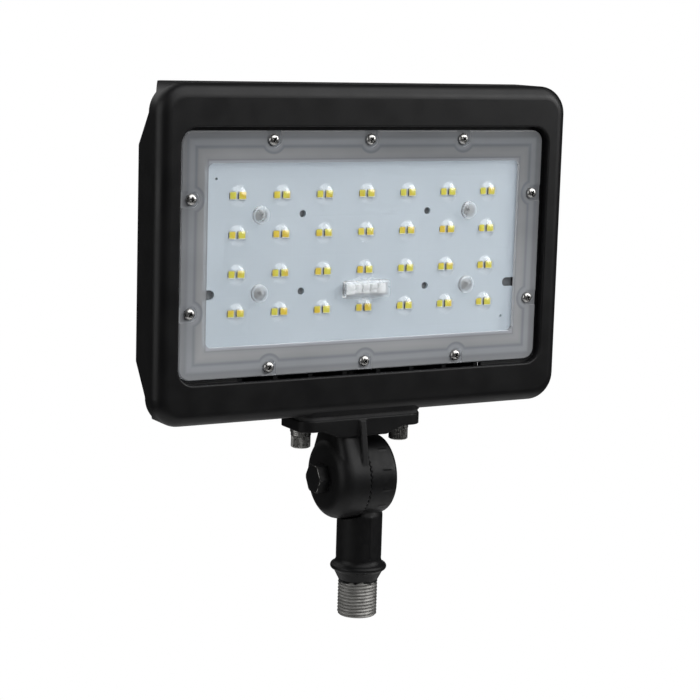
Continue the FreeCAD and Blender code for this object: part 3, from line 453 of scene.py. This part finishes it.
def carve(piece, cutters):
    for cutter in cutters:
        tool = piece.modifiers.new("carve", "BOOLEAN")
        tool.operation = "DIFFERENCE"
        tool.solver = "EXACT"
        tool.object = cutter
    bakeModifiers(piece)
    for cutter in cutters:
        bpy.data.objects.remove(cutter)


def finishPiece(piece, body, finish, node):
    piece.data.materials.clear()
    for each in finish if isinstance(finish, list) else [finish]:
        piece.data.materials.append(finishes[each])
    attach(piece, body)
    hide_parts(node)
    print("piece", piece.name, len(piece.data.polygons), "faces")


# Joins each ring of points to the next. A ring that is one point repeated closes the end.
def joinRings(shape, rings):
    count = len(rings[0])
    for first, second in zip(rings, rings[1:]):
        for i in range(count):
            j = (i + 1) % count
            corners = []
            for point in (first[i], first[j], second[j], second[i]):
                if point not in corners:
                    corners.append(point)
            shape.faces.new(corners)


# Turns a profile of radius and height about the Y axis
def spun(profile, steps):
    shape = bmesh.new()
    turns = [2 * math.pi * i / steps for i in range(steps)]
    circle = [(math.cos(turn), math.sin(turn)) for turn in turns]
    rings = []
    for radius, along in profile:
        if radius < 1e-7:
            rings.append([shape.verts.new((0, along, 0))] * steps)
        else:
            rings.append([shape.verts.new((radius * x, along, radius * z)) for x, z in circle])
    joinRings(shape, rings)
    return shape


def taperedBlock(name, top, bottom, topY, bottomY, turn=0.0):
    shape = bmesh.new()
    signs = ((-1, -1), (1, -1), (1, 1), (-1, 1))
    rings = []
    for (halfX, halfZ), y in ((top, topY), (bottom, bottomY)):
        rings.append([shape.verts.new((signX * halfX, y, signZ * halfZ)) for signX, signZ in signs])
    for ring in rings:
        shape.faces.new(ring)
    joinRings(shape, rings)
    bmesh.ops.rotate(shape, verts=shape.verts, cent=(0, 0, 0), matrix=Matrix.Rotation(turn, 3, "Y"))
    return addObject(name, meshFrom(name, shape))


# Geometry Nodes: one template on every point, each turned a little by the seed
def repeatTree():
    tree = bpy.data.node_groups.new("repeatOnPoints", "GeometryNodeTree")
    sockets = (("Points", "NodeSocketGeometry"), ("Template", "NodeSocketObject"),
               ("Most Turn", "NodeSocketFloat"), ("Seed", "NodeSocketInt"), ("Finish", "NodeSocketMaterial"))
    for name, kind in sockets:
        tree.interface.new_socket(name, in_out="INPUT", socket_type=kind)
    tree.interface.new_socket("Geometry", in_out="OUTPUT", socket_type="NodeSocketGeometry")
    given = tree.nodes.new("NodeGroupInput").outputs
    points = addNode(tree, "GeometryNodeMeshToPoints", {"Mesh": given["Points"]})
    template = addNode(tree, "GeometryNodeObjectInfo", {"Object": given["Template"], "As Instance": True})
    least = calc(tree, "MULTIPLY", given["Most Turn"], -1.0)
    turn = addNode(tree, "FunctionNodeRandomValue", {2: least, 3: given["Most Turn"], "Seed": given["Seed"]},
                   data_type="FLOAT").outputs[1]
    angles = addNode(tree, "ShaderNodeCombineXYZ", {"Y": turn}).outputs["Vector"]
    rotation = addNode(tree, "FunctionNodeEulerToRotation", {"Euler": angles}).outputs["Rotation"]
    copies = addNode(tree, "GeometryNodeInstanceOnPoints", {
        "Points": points.outputs["Points"], "Instance": template.outputs["Geometry"], "Rotation": rotation})
    real = addNode(tree, "GeometryNodeRealizeInstances", {"Geometry": copies.outputs["Instances"]})
    done = addNode(tree, "GeometryNodeSetMaterial", {"Geometry": real.outputs["Geometry"],
                                                     "Material": given["Finish"]})
    end = tree.nodes.new("NodeGroupOutput")
    tree.links.new(done.outputs["Geometry"], end.inputs["Geometry"])
    return tree


repeatOnPoints = repeatTree()
inputItems = [item for item in repeatOnPoints.interface.items_tree if item.in_out == "INPUT"]
socketIds = {item.name: item.identifier for item in inputItems}


def repeated(name, points, template, finish, mostTurn=0.0, seed=1):
    mesh = bpy.data.meshes.new(name)
    mesh.from_pydata([tuple(p) for p in points], [], [])
    piece = addObject(name, mesh)
    tool = piece.modifiers.new("repeat", "NODES")
    tool.node_group = repeatOnPoints
    tool[socketIds["Template"]] = template
    tool[socketIds["Most Turn"]] = mostTurn
    tool[socketIds["Seed"]] = seed
    tool[socketIds["Finish"]] = finishes[finish]
    bakeModifiers(piece)
    bpy.data.objects.remove(template)
    return piece


def headPoint(x, y, z):
    return Vector((headMid.x + x * mm, y, headMid.z + z * mm))


# Pan heads with a tapered cross recess. The head looks along -Y, or +Y for the cover's screws.
lensScrewSizes = {"head": 2.9, "height": 2.2, "shank": 1.5, "length": 7.5,
                  "cross": 1.75, "slot": 0.42, "depth": 1.3}
boardScrewSizes = {"head": 2.75, "height": 2.0, "shank": 1.5, "length": 5.0,
                   "cross": 1.65, "slot": 0.4, "depth": 1.2, "x": 62.5, "z": 20.0}
coverScrewSizes = {"head": 3.7, "height": 2.6, "shank": 2.0, "length": 12.0,
                   "cross": 2.2, "slot": 0.5, "depth": 1.5}

# What all pan heads share: the outline is in shares of the head's radius and height,
# the ends are the shares left at the tip and at the bottom of the recess
panLook = {"outline": ((0, 1), (0.4, 0.985), (0.68, 0.9), (0.88, 0.72), (0.97, 0.5), (1, 0.3), (1, 0.05),
                       (0.97, 0)),
           "tipEnd": 0.4, "crossEnd": 0.35, "slotEnd": 0.6, "over": 0.1, "steps": 40, "mostTurn": 1.4}


def panScrew(size, flip):
    head, height, shank, length = (size[key] * mm for key in ("head", "height", "shank", "length"))
    profile = [(across * head, -along * height) for across, along in panLook["outline"]]
    profile += [(shank, 0), (shank, length - shank), (panLook["tipEnd"] * shank, length), (0, length)]
    screw = addObject("panScrew", meshFrom("panScrew", spun(profile, panLook["steps"])))
    cross, slot, depth = (size[key] * mm for key in ("cross", "slot", "depth"))
    recessEnd = (panLook["crossEnd"] * cross, panLook["slotEnd"] * slot)
    start = -height - panLook["over"] * mm
    cutters = [taperedBlock("cross", (cross, slot), recessEnd, start, -height + depth, turn)
               for turn in (0.0, math.pi / 2)]
    carve(screw, cutters)
    if flip:
        screw.data.transform(Matrix.Rotation(math.pi, 4, "Z"))
    shadeByAngle(screw.data, 32)
    return screw


def screwSet(name, points, size, finish, seed, node, flip=False):
    piece = repeated(name, points, panScrew(size, flip), finish, panLook["mostTurn"], seed)
    finishPiece(piece, "head", finish, node)


def crossings(columns, rows):
    return [(x, z) for x in columns for z in rows]


def addScrews():
    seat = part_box("lens_screws")[0].y + lensScrewSizes["height"] * mm
    spreadX, spreadZ, sideX, endZ = (lensScrewPlaces[key] for key in ("spreadX", "spreadZ", "sideX", "endZ"))
    spots = crossings((-spreadX, 0, spreadX), (-endZ, endZ)) + crossings((-sideX, sideX), (-spreadZ, spreadZ))
    points = [headPoint(x, seat, z) for x, z in spots]
    screwSet("lensScrews", points, lensScrewSizes, "brushedStainless", 4, "lens_screws")

    farX, farZ = boardScrewSizes["x"], boardScrewSizes["z"]
    points = [headPoint(x, boardLow.y, z) for x, z in crossings((-farX, farX), (-farZ, farZ))]
    screwSet("boardScrews", points, boardScrewSizes, "paleZinc", 7, "board_screws")

    low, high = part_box("cover_screws")
    inset = coverScrewSizes["head"] * mm
    seat = high.y - coverScrewSizes["height"] * mm
    spots = crossings((low.x + inset, high.x - inset), (low.z + inset, high.z - inset))
    points = [Vector((x, seat, z)) for x, z in spots]
    screwSet("coverScrews", points, coverScrewSizes, "brushedStainless", 9, "cover_screws", True)


addScrews()


# Light chips: a pale package with a rim, and the phosphor inside it. The package's sides are black: painted
# shade.
chipSizes = {"columns": 7, "rows": 4, "columnPitch": 25.0, "rowPitch": 20.0, "pairPitch": 4.8, "side": 3.5,
             "height": 0.7, "rim": 0.16, "cup": 0.14, "corner": 0.18, "fillBelow": 0.05, "crown": 0.03,
             "crownShare": 0.9, "cornerShare": 0.8, "mostTurn": 0.03, "seed": 3}


def chipPackage():
    size = chipSizes
    side, height = size["side"] * mm, size["height"] * mm
    shape = bmesh.new()
    bmesh.ops.create_cube(shape, size=1.0)
    bmesh.ops.scale(shape, vec=(side, height, side), verts=shape.verts)
    upright = [e for e in shape.edges if abs(e.verts[0].co.y - e.verts[1].co.y) > height / 2]
    bmesh.ops.bevel(shape, geom=upright, offset=size["corner"] * mm, segments=2, affect="EDGES", profile=0.5)
    front = [f for f in shape.faces if f.normal.y < -0.9]
    bmesh.ops.inset_individual(shape, faces=front, thickness=size["rim"] * mm)
    sunk = list({v for f in front for v in f.verts})
    bmesh.ops.translate(shape, vec=(0, size["cup"] * mm, 0), verts=sunk)
    bmesh.ops.translate(shape, vec=(0, -height / 2, 0), verts=shape.verts)
    return addObject("chipPackage", meshFrom("chipPackage", shape, 30))


def chipPhosphor():
    size = chipSizes
    reach = (size["side"] / 2 - size["rim"]) * mm
    floor = (size["cup"] - size["height"]) * mm
    top = (size["fillBelow"] - size["height"]) * mm
    cut = size["cornerShare"]
    plan = [(-1, -cut), (-cut, -1), (cut, -1), (1, -cut), (1, cut), (cut, 1), (-cut, 1), (-1, cut)]
    shape = bmesh.new()
    rings = []
    for share, y in ((1.0, floor), (1.0, (floor + top) / 2), (size["crownShare"], top)):
        rings.append([shape.verts.new((x * reach * share, y, z * reach * share)) for x, z in plan])
    rings.append([shape.verts.new((0, top - size["crown"] * mm, 0))] * len(plan))
    shape.faces.new(rings[0])
    joinRings(shape, rings)
    return addObject("chipPhosphor", meshFrom("chipPhosphor", shape, 40))


def addChips():
    size = chipSizes
    points = []
    for column in range(size["columns"]):
        for row in range(size["rows"]):
            for side in (-0.5, 0.5):
                x = (column - (size["columns"] - 1) / 2) * size["columnPitch"] + side * size["pairPitch"]
                z = (row - (size["rows"] - 1) / 2) * size["rowPitch"]
                points.append(headPoint(x, boardLow.y, z))
    piece = repeated("ledPackages", points, chipPackage(), "chipCeramic", size["mostTurn"], size["seed"])
    finishPiece(piece, "head", ["chipCeramic", "chipSidePaintedShade"], "led_chips")
    # Painted shade: every side face of the packages gets the black finish
    for face in piece.data.polygons:
        face.material_index = 1 if abs(face.normal.y) < 0.5 else 0
    piece = repeated("ledPhosphor", points, chipPhosphor(), "chipPhosphor", size["mostTurn"], size["seed"])
    finishPiece(piece, "head", "chipPhosphor", "led_chips")


addChips()


# Terminal block: a low base with end blocks, and a body with a lever for each wire
terminalSizes = {"base": 1.7, "endBlock": 4.6, "wires": 3, "bodyInset": 0.5, "bodyDrop": 0.9,
                 "lever": 2.5, "leverGap": 0.7, "leverInset": 0.1, "edge": 0.25}


def bevelledBox(shape, low, high, edge):
    made = bmesh.ops.create_cube(shape, size=1.0)["verts"]
    bmesh.ops.scale(shape, vec=high - low, verts=made)
    bmesh.ops.translate(shape, vec=(low + high) / 2, verts=made)
    edges = list({e for v in made for e in v.link_edges})
    bmesh.ops.bevel(shape, geom=edges, offset=edge, segments=2, affect="EDGES", profile=0.5)


def addTerminal():
    size = terminalSizes
    low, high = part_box("board_connector")
    edge, inset, drop = (size[key] * mm for key in ("edge", "bodyInset", "bodyDrop"))
    leverInset = size["leverInset"] * mm
    shape = bmesh.new()
    bevelledBox(shape, Vector((low.x, high.y - size["base"] * mm, low.z)), high, edge)
    start = low.x + size["endBlock"] * mm
    end = high.x - size["endBlock"] * mm
    for left, right in ((low.x, start), (end, high.x)):
        bevelledBox(shape, Vector((left, low.y, low.z)), Vector((right, high.y, high.z)), edge)
    pitch = (end - start) / size["wires"]
    gap = size["leverGap"] * mm / 2
    for i in range(size["wires"]):
        left = start + i * pitch + gap
        right = start + (i + 1) * pitch - gap
        bodyLow = Vector((left, low.y + inset, low.z + inset))
        bevelledBox(shape, bodyLow, Vector((right, high.y, high.z - drop)), edge)
        leverLow = Vector((left + gap, low.y + leverInset, high.z - size["lever"] * mm))
        bevelledBox(shape, leverLow, Vector((right - gap, high.y, high.z - leverInset)), edge)
    piece = addObject("terminalBlock", meshFrom("terminalBlock", shape, 30))
    finishPiece(piece, "head", "terminalNylon", "board_connector")


addTerminal()


# Clear cover: its border is hazy, the window in front of the board is clear. The walls of its edges and seats
# get a paler copy of the border: painted light.
coverSizes = {"windowX": 92.9, "windowZ": 46.4, "edgeSlope": 0.6, "boss": 4.9, "bubble": 2.6,
              "flat": 0.9999, "domeSlope": 0.1}
coverFinishes = ["clearCover", "hazyBorder", "paintedLitEdge", "frostedBoss", "softDome"]


def coverFinishAt(face, bubbleLow, bubbleHigh):
    size = coverSizes
    offset = face.center - headMid
    bossX = abs(offset.x) - boardScrewSizes["x"] * mm
    bossZ = abs(offset.z) - boardScrewSizes["z"] * mm
    margin = size["bubble"] * mm
    inBubble = all(low - margin < along < high + margin
                   for along, low, high in zip(face.center.xz, bubbleLow.xz, bubbleHigh.xz))
    if inBubble or math.hypot(bossX, bossZ) < size["boss"] * mm:
        return "frostedBoss"
    if abs(offset.x) < size["windowX"] * mm and abs(offset.z) < size["windowZ"] * mm:
        onDome = -size["flat"] < face.normal.y < -size["domeSlope"]
        return "softDome" if onDome else "clearCover"
    # Painted light: faces that stand across the cover get the paler finish
    return "paintedLitEdge" if abs(face.normal.y) < size["edgeSlope"] else "hazyBorder"


def addCover():
    bubbleLow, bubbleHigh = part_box("board_connector")
    piece = addObject("lensCover", meshFrom("lensCover", mergedNode("lens_cover"), 30))
    finishPiece(piece, "head", coverFinishes, "lens_cover")
    for face in piece.data.polygons:
        face.material_index = coverFinishes.index(coverFinishAt(face, bubbleLow, bubbleHigh))


addCover()


# Castings of the knuckle: the solid's skin, softened as a casting's edges are.
# The thread's turns are cut into the plain end of the stem.
castSizes = {"grain": 0.42, "softenShare": 0.5, "softenTimes": 4}
threadSizes = {"top": 1.4, "radius": 10.67, "pitch": 1.814, "depth": 0.65, "groove": 1.5, "over": 0.3,
               "steps": 48}


def castSkin(piece):
    skin = piece.modifiers.new("skin", "REMESH")
    skin.mode = "VOXEL"
    skin.voxel_size = castSizes["grain"] * mm
    soften = piece.modifiers.new("soften", "SMOOTH")
    soften.factor = castSizes["softenShare"]
    soften.iterations = castSizes["softenTimes"]
    bakeModifiers(piece)
    piece.data.shade_smooth()


def halfNode(name, cutZ, keepTop):
    shape = mergedNode(name)
    everything = list(shape.verts) + list(shape.edges) + list(shape.faces)
    cut = bmesh.ops.bisect_plane(shape, geom=everything, plane_co=(0, 0, cutZ), plane_no=(0, 0, 1),
                                 clear_inner=keepTop, clear_outer=not keepTop)
    rim = [e for e in cut["geom_cut"] if isinstance(e, bmesh.types.BMEdge)]
    bmesh.ops.triangle_fill(shape, edges=rim, use_beauty=True)
    return shape


def threadGroove(low, high):
    size = threadSizes
    root, outer = (size["radius"] - size["depth"]) * mm, (size["radius"] + size["over"]) * mm
    half = size["groove"] / 2 * mm * (1 + size["over"] / size["depth"])
    pitch = size["pitch"] * mm
    shape = bmesh.new()
    rings = []
    for i in range(math.ceil((high - low) / pitch * size["steps"]) + 1):
        turn = 2 * math.pi * i / size["steps"]
        middle = low + pitch * i / size["steps"]
        section = ((root, middle), (outer, middle - half), (outer, middle + half))
        x, y = math.cos(turn), math.sin(turn)
        rings.append([shape.verts.new((radius * x, radius * y, z)) for radius, z in section])
    joinRings(shape, rings)
    shape.faces.new(rings[0])
    shape.faces.new(rings[-1])
    return addObject("threadGroove", meshFrom("threadGroove", shape))


def addKnuckle():
    piece = addObject("knuckleBracket", meshFrom("knuckleBracket", mergedNode("knuckle_plate")))
    castSkin(piece)
    finishPiece(piece, "head", "dullBlackCoat", "knuckle_plate")
    cutZ = threadSizes["top"] * mm
    piece = addObject("knuckleStem", meshFrom("knuckleStem", halfNode("knuckle_stem", cutZ, True)))
    castSkin(piece)
    finishPiece(piece, "stem", "stemCoatAndThread", "knuckle_stem")
    piece = addObject("pipeThread", meshFrom("pipeThread", halfNode("knuckle_stem", cutZ, False)))
    pitch = threadSizes["pitch"] * mm
    carve(piece, [threadGroove(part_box("knuckle_stem")[0].z - pitch, cutZ + pitch)])
    shadeByAngle(piece.data, 30)
    finishPiece(piece, "stem", "stemCoatAndThread", "knuckle_stem")


addKnuckle()


# Socket bolts under the plate, with a knurled head
boltSizes = {"head": 5.2, "height": 6.6, "rim": 0.5, "underRim": 0.3, "shank": 3.0, "length": 20.0,
             "tip": 0.6, "flats": 5.0, "socket": 3.0, "socketTip": 0.8, "knurls": 36, "knurlDepth": 0.28}


def addBolts():
    size = boltSizes
    head, height, shank, length = (size[key] * mm for key in ("head", "height", "shank", "length"))
    rim, underRim, tip = (size[key] * mm for key in ("rim", "underRim", "tip"))
    valley = head - size["knurlDepth"] * mm
    profile = [(0, -height), (valley - rim, -height), (valley, -height + rim), (valley, -rim),
               (valley - underRim, 0), (shank, 0), (shank, length - tip), (shank - tip, length), (0, length)]
    shape = spun(profile, 2 * size["knurls"])
    for vertex in shape.verts:
        x, y, z = vertex.co
        if abs(math.hypot(x, z) - valley) < 1e-6 and -height + rim / 2 < y < -rim / 2:
            turn = math.atan2(z, x) * size["knurls"] / (2 * math.pi)
            if abs(turn - round(turn)) < 0.25:
                vertex.co = (x * head / valley, y, z * head / valley)
    bolt = addObject("socketBolt", meshFrom("socketBolt", shape, 25))
    corner = size["flats"] / math.sqrt(3) * mm
    start = -height - mm
    depth = -height + size["socket"] * mm
    hexagon = spun([(0, start), (corner, start), (corner, depth), (0, depth + size["socketTip"] * mm)], 6)
    carve(bolt, [addObject("socket", meshFrom("socket", hexagon))])
    bolt.data.transform(Matrix.Rotation(math.pi / 2, 4, "X"))
    shadeByAngle(bolt.data, 25)
    low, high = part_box("plate_bolts")
    middle = (low.y + high.y) / 2
    points = [Vector((x, middle, low.z + height)) for x in (low.x + head, high.x - head)]
    piece = repeated("plateBolts", points, bolt, "turnedSteel")
    finishPiece(piece, "head", "turnedSteel", "plate_bolts")


addBolts()


# Pivot bolt: the solid's own form with its edges broken
pivotSizes = {"edge": 0.3, "edgeAngle": 28, "smoothAngle": 40}


def addPivotBolt():
    piece = addObject("pivotBolt", meshFrom("pivotBolt", mergedNode("pivot_bolt")))
    edge = piece.modifiers.new("edge", "BEVEL")
    edge.width = pivotSizes["edge"] * mm
    edge.segments = 2
    edge.limit_method = "ANGLE"
    edge.angle_limit = math.radians(pivotSizes["edgeAngle"])
    bakeModifiers(piece)
    shadeByAngle(piece.data, pivotSizes["smoothAngle"])
    finishPiece(piece, "stem", "wornBlackSteel", "pivot_bolt")


addPivotBolt()


# Nodes whose solid is right as it is get their finish only
nodeFinishes = {
    "housing": "satinBlackCoat", "driver_cover": "satinBlackCoat", "lens_gasket": "paleSilicone",
    "led_board": "boardMask", "thermal_pad": "gapPad", "board_leads": "leadSleeve",
    "driver_case": "terminalNylon", "driver_potting": "pottingResin", "driver_screws": "brushedStainless",
    "cover_gasket": "blackSilicone", "wire_grommet": "blackSilicone", "mount_gasket": "blackSilicone",
    "knuckle_seal": "blackSilicone", "plate_washers": "turnedSteel",
    "plate_spring_washers": "turnedSteel", "pivot_nut": "wornBlackSteel",
}
for name, finish in nodeFinishes.items():
    nodes[name].material_slots[0].material = finishes[finish]
print("node finishes set:", len(nodeFinishes))


# Floor, well below the hanging end, fading into the white round it
floorLook = {"height": -0.4, "radius": 0.9, "fadeFrom": 0.45, "colour": (0.86, 0.86, 0.86), "roughness": 0.7}


def addFloor():
    look = floorLook
    shape = bmesh.new()
    bmesh.ops.create_circle(shape, cap_ends=True, segments=96, radius=look["radius"])
    bmesh.ops.translate(shape, vec=(0, 0, look["height"]), verts=shape.verts)
    floor = addObject("floor", meshFrom("floor", shape))
    if floor.data.polygons[0].normal.z < 0:
        floor.data.flip_normals()
    material, tree, shader, place = newMaterial("paleFloor")
    x, y, z = splitPlace(tree, place)
    fade = remap(tree, distance(tree, x, y), look["fadeFrom"], look["radius"], 1.0, 0.0)
    tree.links.new(fade, shader.inputs["Alpha"])
    shader.inputs["Base Color"].default_value = rgb(look["colour"])
    shader.inputs["Roughness"].default_value = look["roughness"]
    floor.data.materials.append(material)


addFloor()


# Camera at the photograph's angle; the focal length is in pixels of a 700 pixel frame
cameraLook = {"place": (-0.545, -0.9278, 0.3016), "azimuth": -30.01, "elevation": 9.24, "roll": 1.72,
              "focalPixels": 2046.0, "framePixels": 700.0, "sensor": 36.0}


def cameraBack():
    azimuth = math.radians(cameraLook["azimuth"])
    elevation = math.radians(cameraLook["elevation"])
    level = math.cos(elevation)
    return Vector((math.sin(azimuth) * level, -math.cos(azimuth) * level, math.sin(elevation)))


# A grey room, a little darker in reflections of its far side. The camera sees white all round,
# metal and glass see white straight behind the object. The angles are from that direction.
worldLook = {"grey": 0.06, "dark": 0.045, "whiteTo": 10.0, "whiteEnd": 16.0, "darkTo": 55.0, "darkEnd": 85.0}


def addWorld():
    look = worldLook
    world = bpy.data.worlds.new("studio")
    scene.world = world
    world.use_nodes = True
    tree = world.node_tree
    tree.nodes.clear()
    path = addNode(tree, "ShaderNodeLightPath").outputs
    seen = calc(tree, "MAXIMUM", calc(tree, "MAXIMUM", path["Is Camera Ray"], path["Is Glossy Ray"]),
                path["Is Transmission Ray"])
    direct = calc(tree, "LESS_THAN", path["Diffuse Depth"], 0.5)
    towards = addNode(tree, "ShaderNodeTexCoord").outputs["Generated"]
    inLine = dotProduct(tree, towards, -cameraBack())
    cosine = {key: math.cos(math.radians(look[key])) for key in ("whiteTo", "whiteEnd", "darkTo", "darkEnd")}
    behind = remap(tree, inLine, cosine["whiteEnd"], cosine["whiteTo"], 0.0, 1.0)
    farSide = remap(tree, inLine, cosine["darkEnd"], cosine["darkTo"], 0.0, 1.0)
    dim = calc(tree, "MULTIPLY", farSide, path["Is Glossy Ray"])
    room = addNode(tree, "ShaderNodeMix", {0: dim, 2: look["grey"], 3: look["dark"]}).outputs[0]
    patch = calc(tree, "MAXIMUM", behind, path["Is Camera Ray"])
    white = calc(tree, "MULTIPLY", calc(tree, "MULTIPLY", seen, direct), patch)
    strength = addNode(tree, "ShaderNodeMix", {0: white, 2: room, 3: 1.0}).outputs[0]
    sky = addNode(tree, "ShaderNodeBackground", {"Color": rgb((1.0, 1.0, 1.0)), "Strength": strength})
    end = tree.nodes.new("ShaderNodeOutputWorld")
    tree.links.new(sky.outputs["Background"], end.inputs["Surface"])


addWorld()


# Soft boxes, all aimed at the head
lampAim = (0.0, 0.0, 0.16)
lampLooks = {
    "highBox": {"place": (0.5, -0.95, 1.35), "power": 39.0, "size": 2.25},
    "sidePanel": {"place": (1.62, -1.25, 0.72), "power": 15.0, "size": 1.0},
    "leftStrip": {"place": (-1.5, 0.0, 0.44), "power": 9.0, "size": 1.1},
    "backBox": {"place": (-0.6, 1.2, 1.3), "power": 8.0, "size": 1.5},
}


def addLamps():
    for name, look in lampLooks.items():
        data = bpy.data.lights.new(name, "AREA")
        data.energy = look["power"]
        data.size = look["size"]
        lamp = addObject(name, data)
        lamp.location = look["place"]
        lamp.rotation_euler = (Vector(lampAim) - lamp.location).to_track_quat("-Z", "Y").to_euler()


addLamps()


def addCamera():
    look = cameraLook
    data = bpy.data.cameras.new("camera")
    data.sensor_width = look["sensor"]
    data.lens = look["sensor"] * look["focalPixels"] / look["framePixels"]
    data.clip_start = 0.01
    roll = math.radians(look["roll"])
    back = cameraBack()
    right = (-back).cross(Vector((0, 0, 1))).normalized()
    up = right.cross(-back)
    rolledRight = math.cos(roll) * right + math.sin(roll) * up
    rolledUp = -math.sin(roll) * right + math.cos(roll) * up
    turn = Matrix((rolledRight, rolledUp, back)).transposed().to_4x4()
    scene.camera = addObject("camera", data)
    scene.camera.matrix_world = Matrix.Translation(look["place"]) @ turn


addCamera()
print("stage, lamps and camera ready")
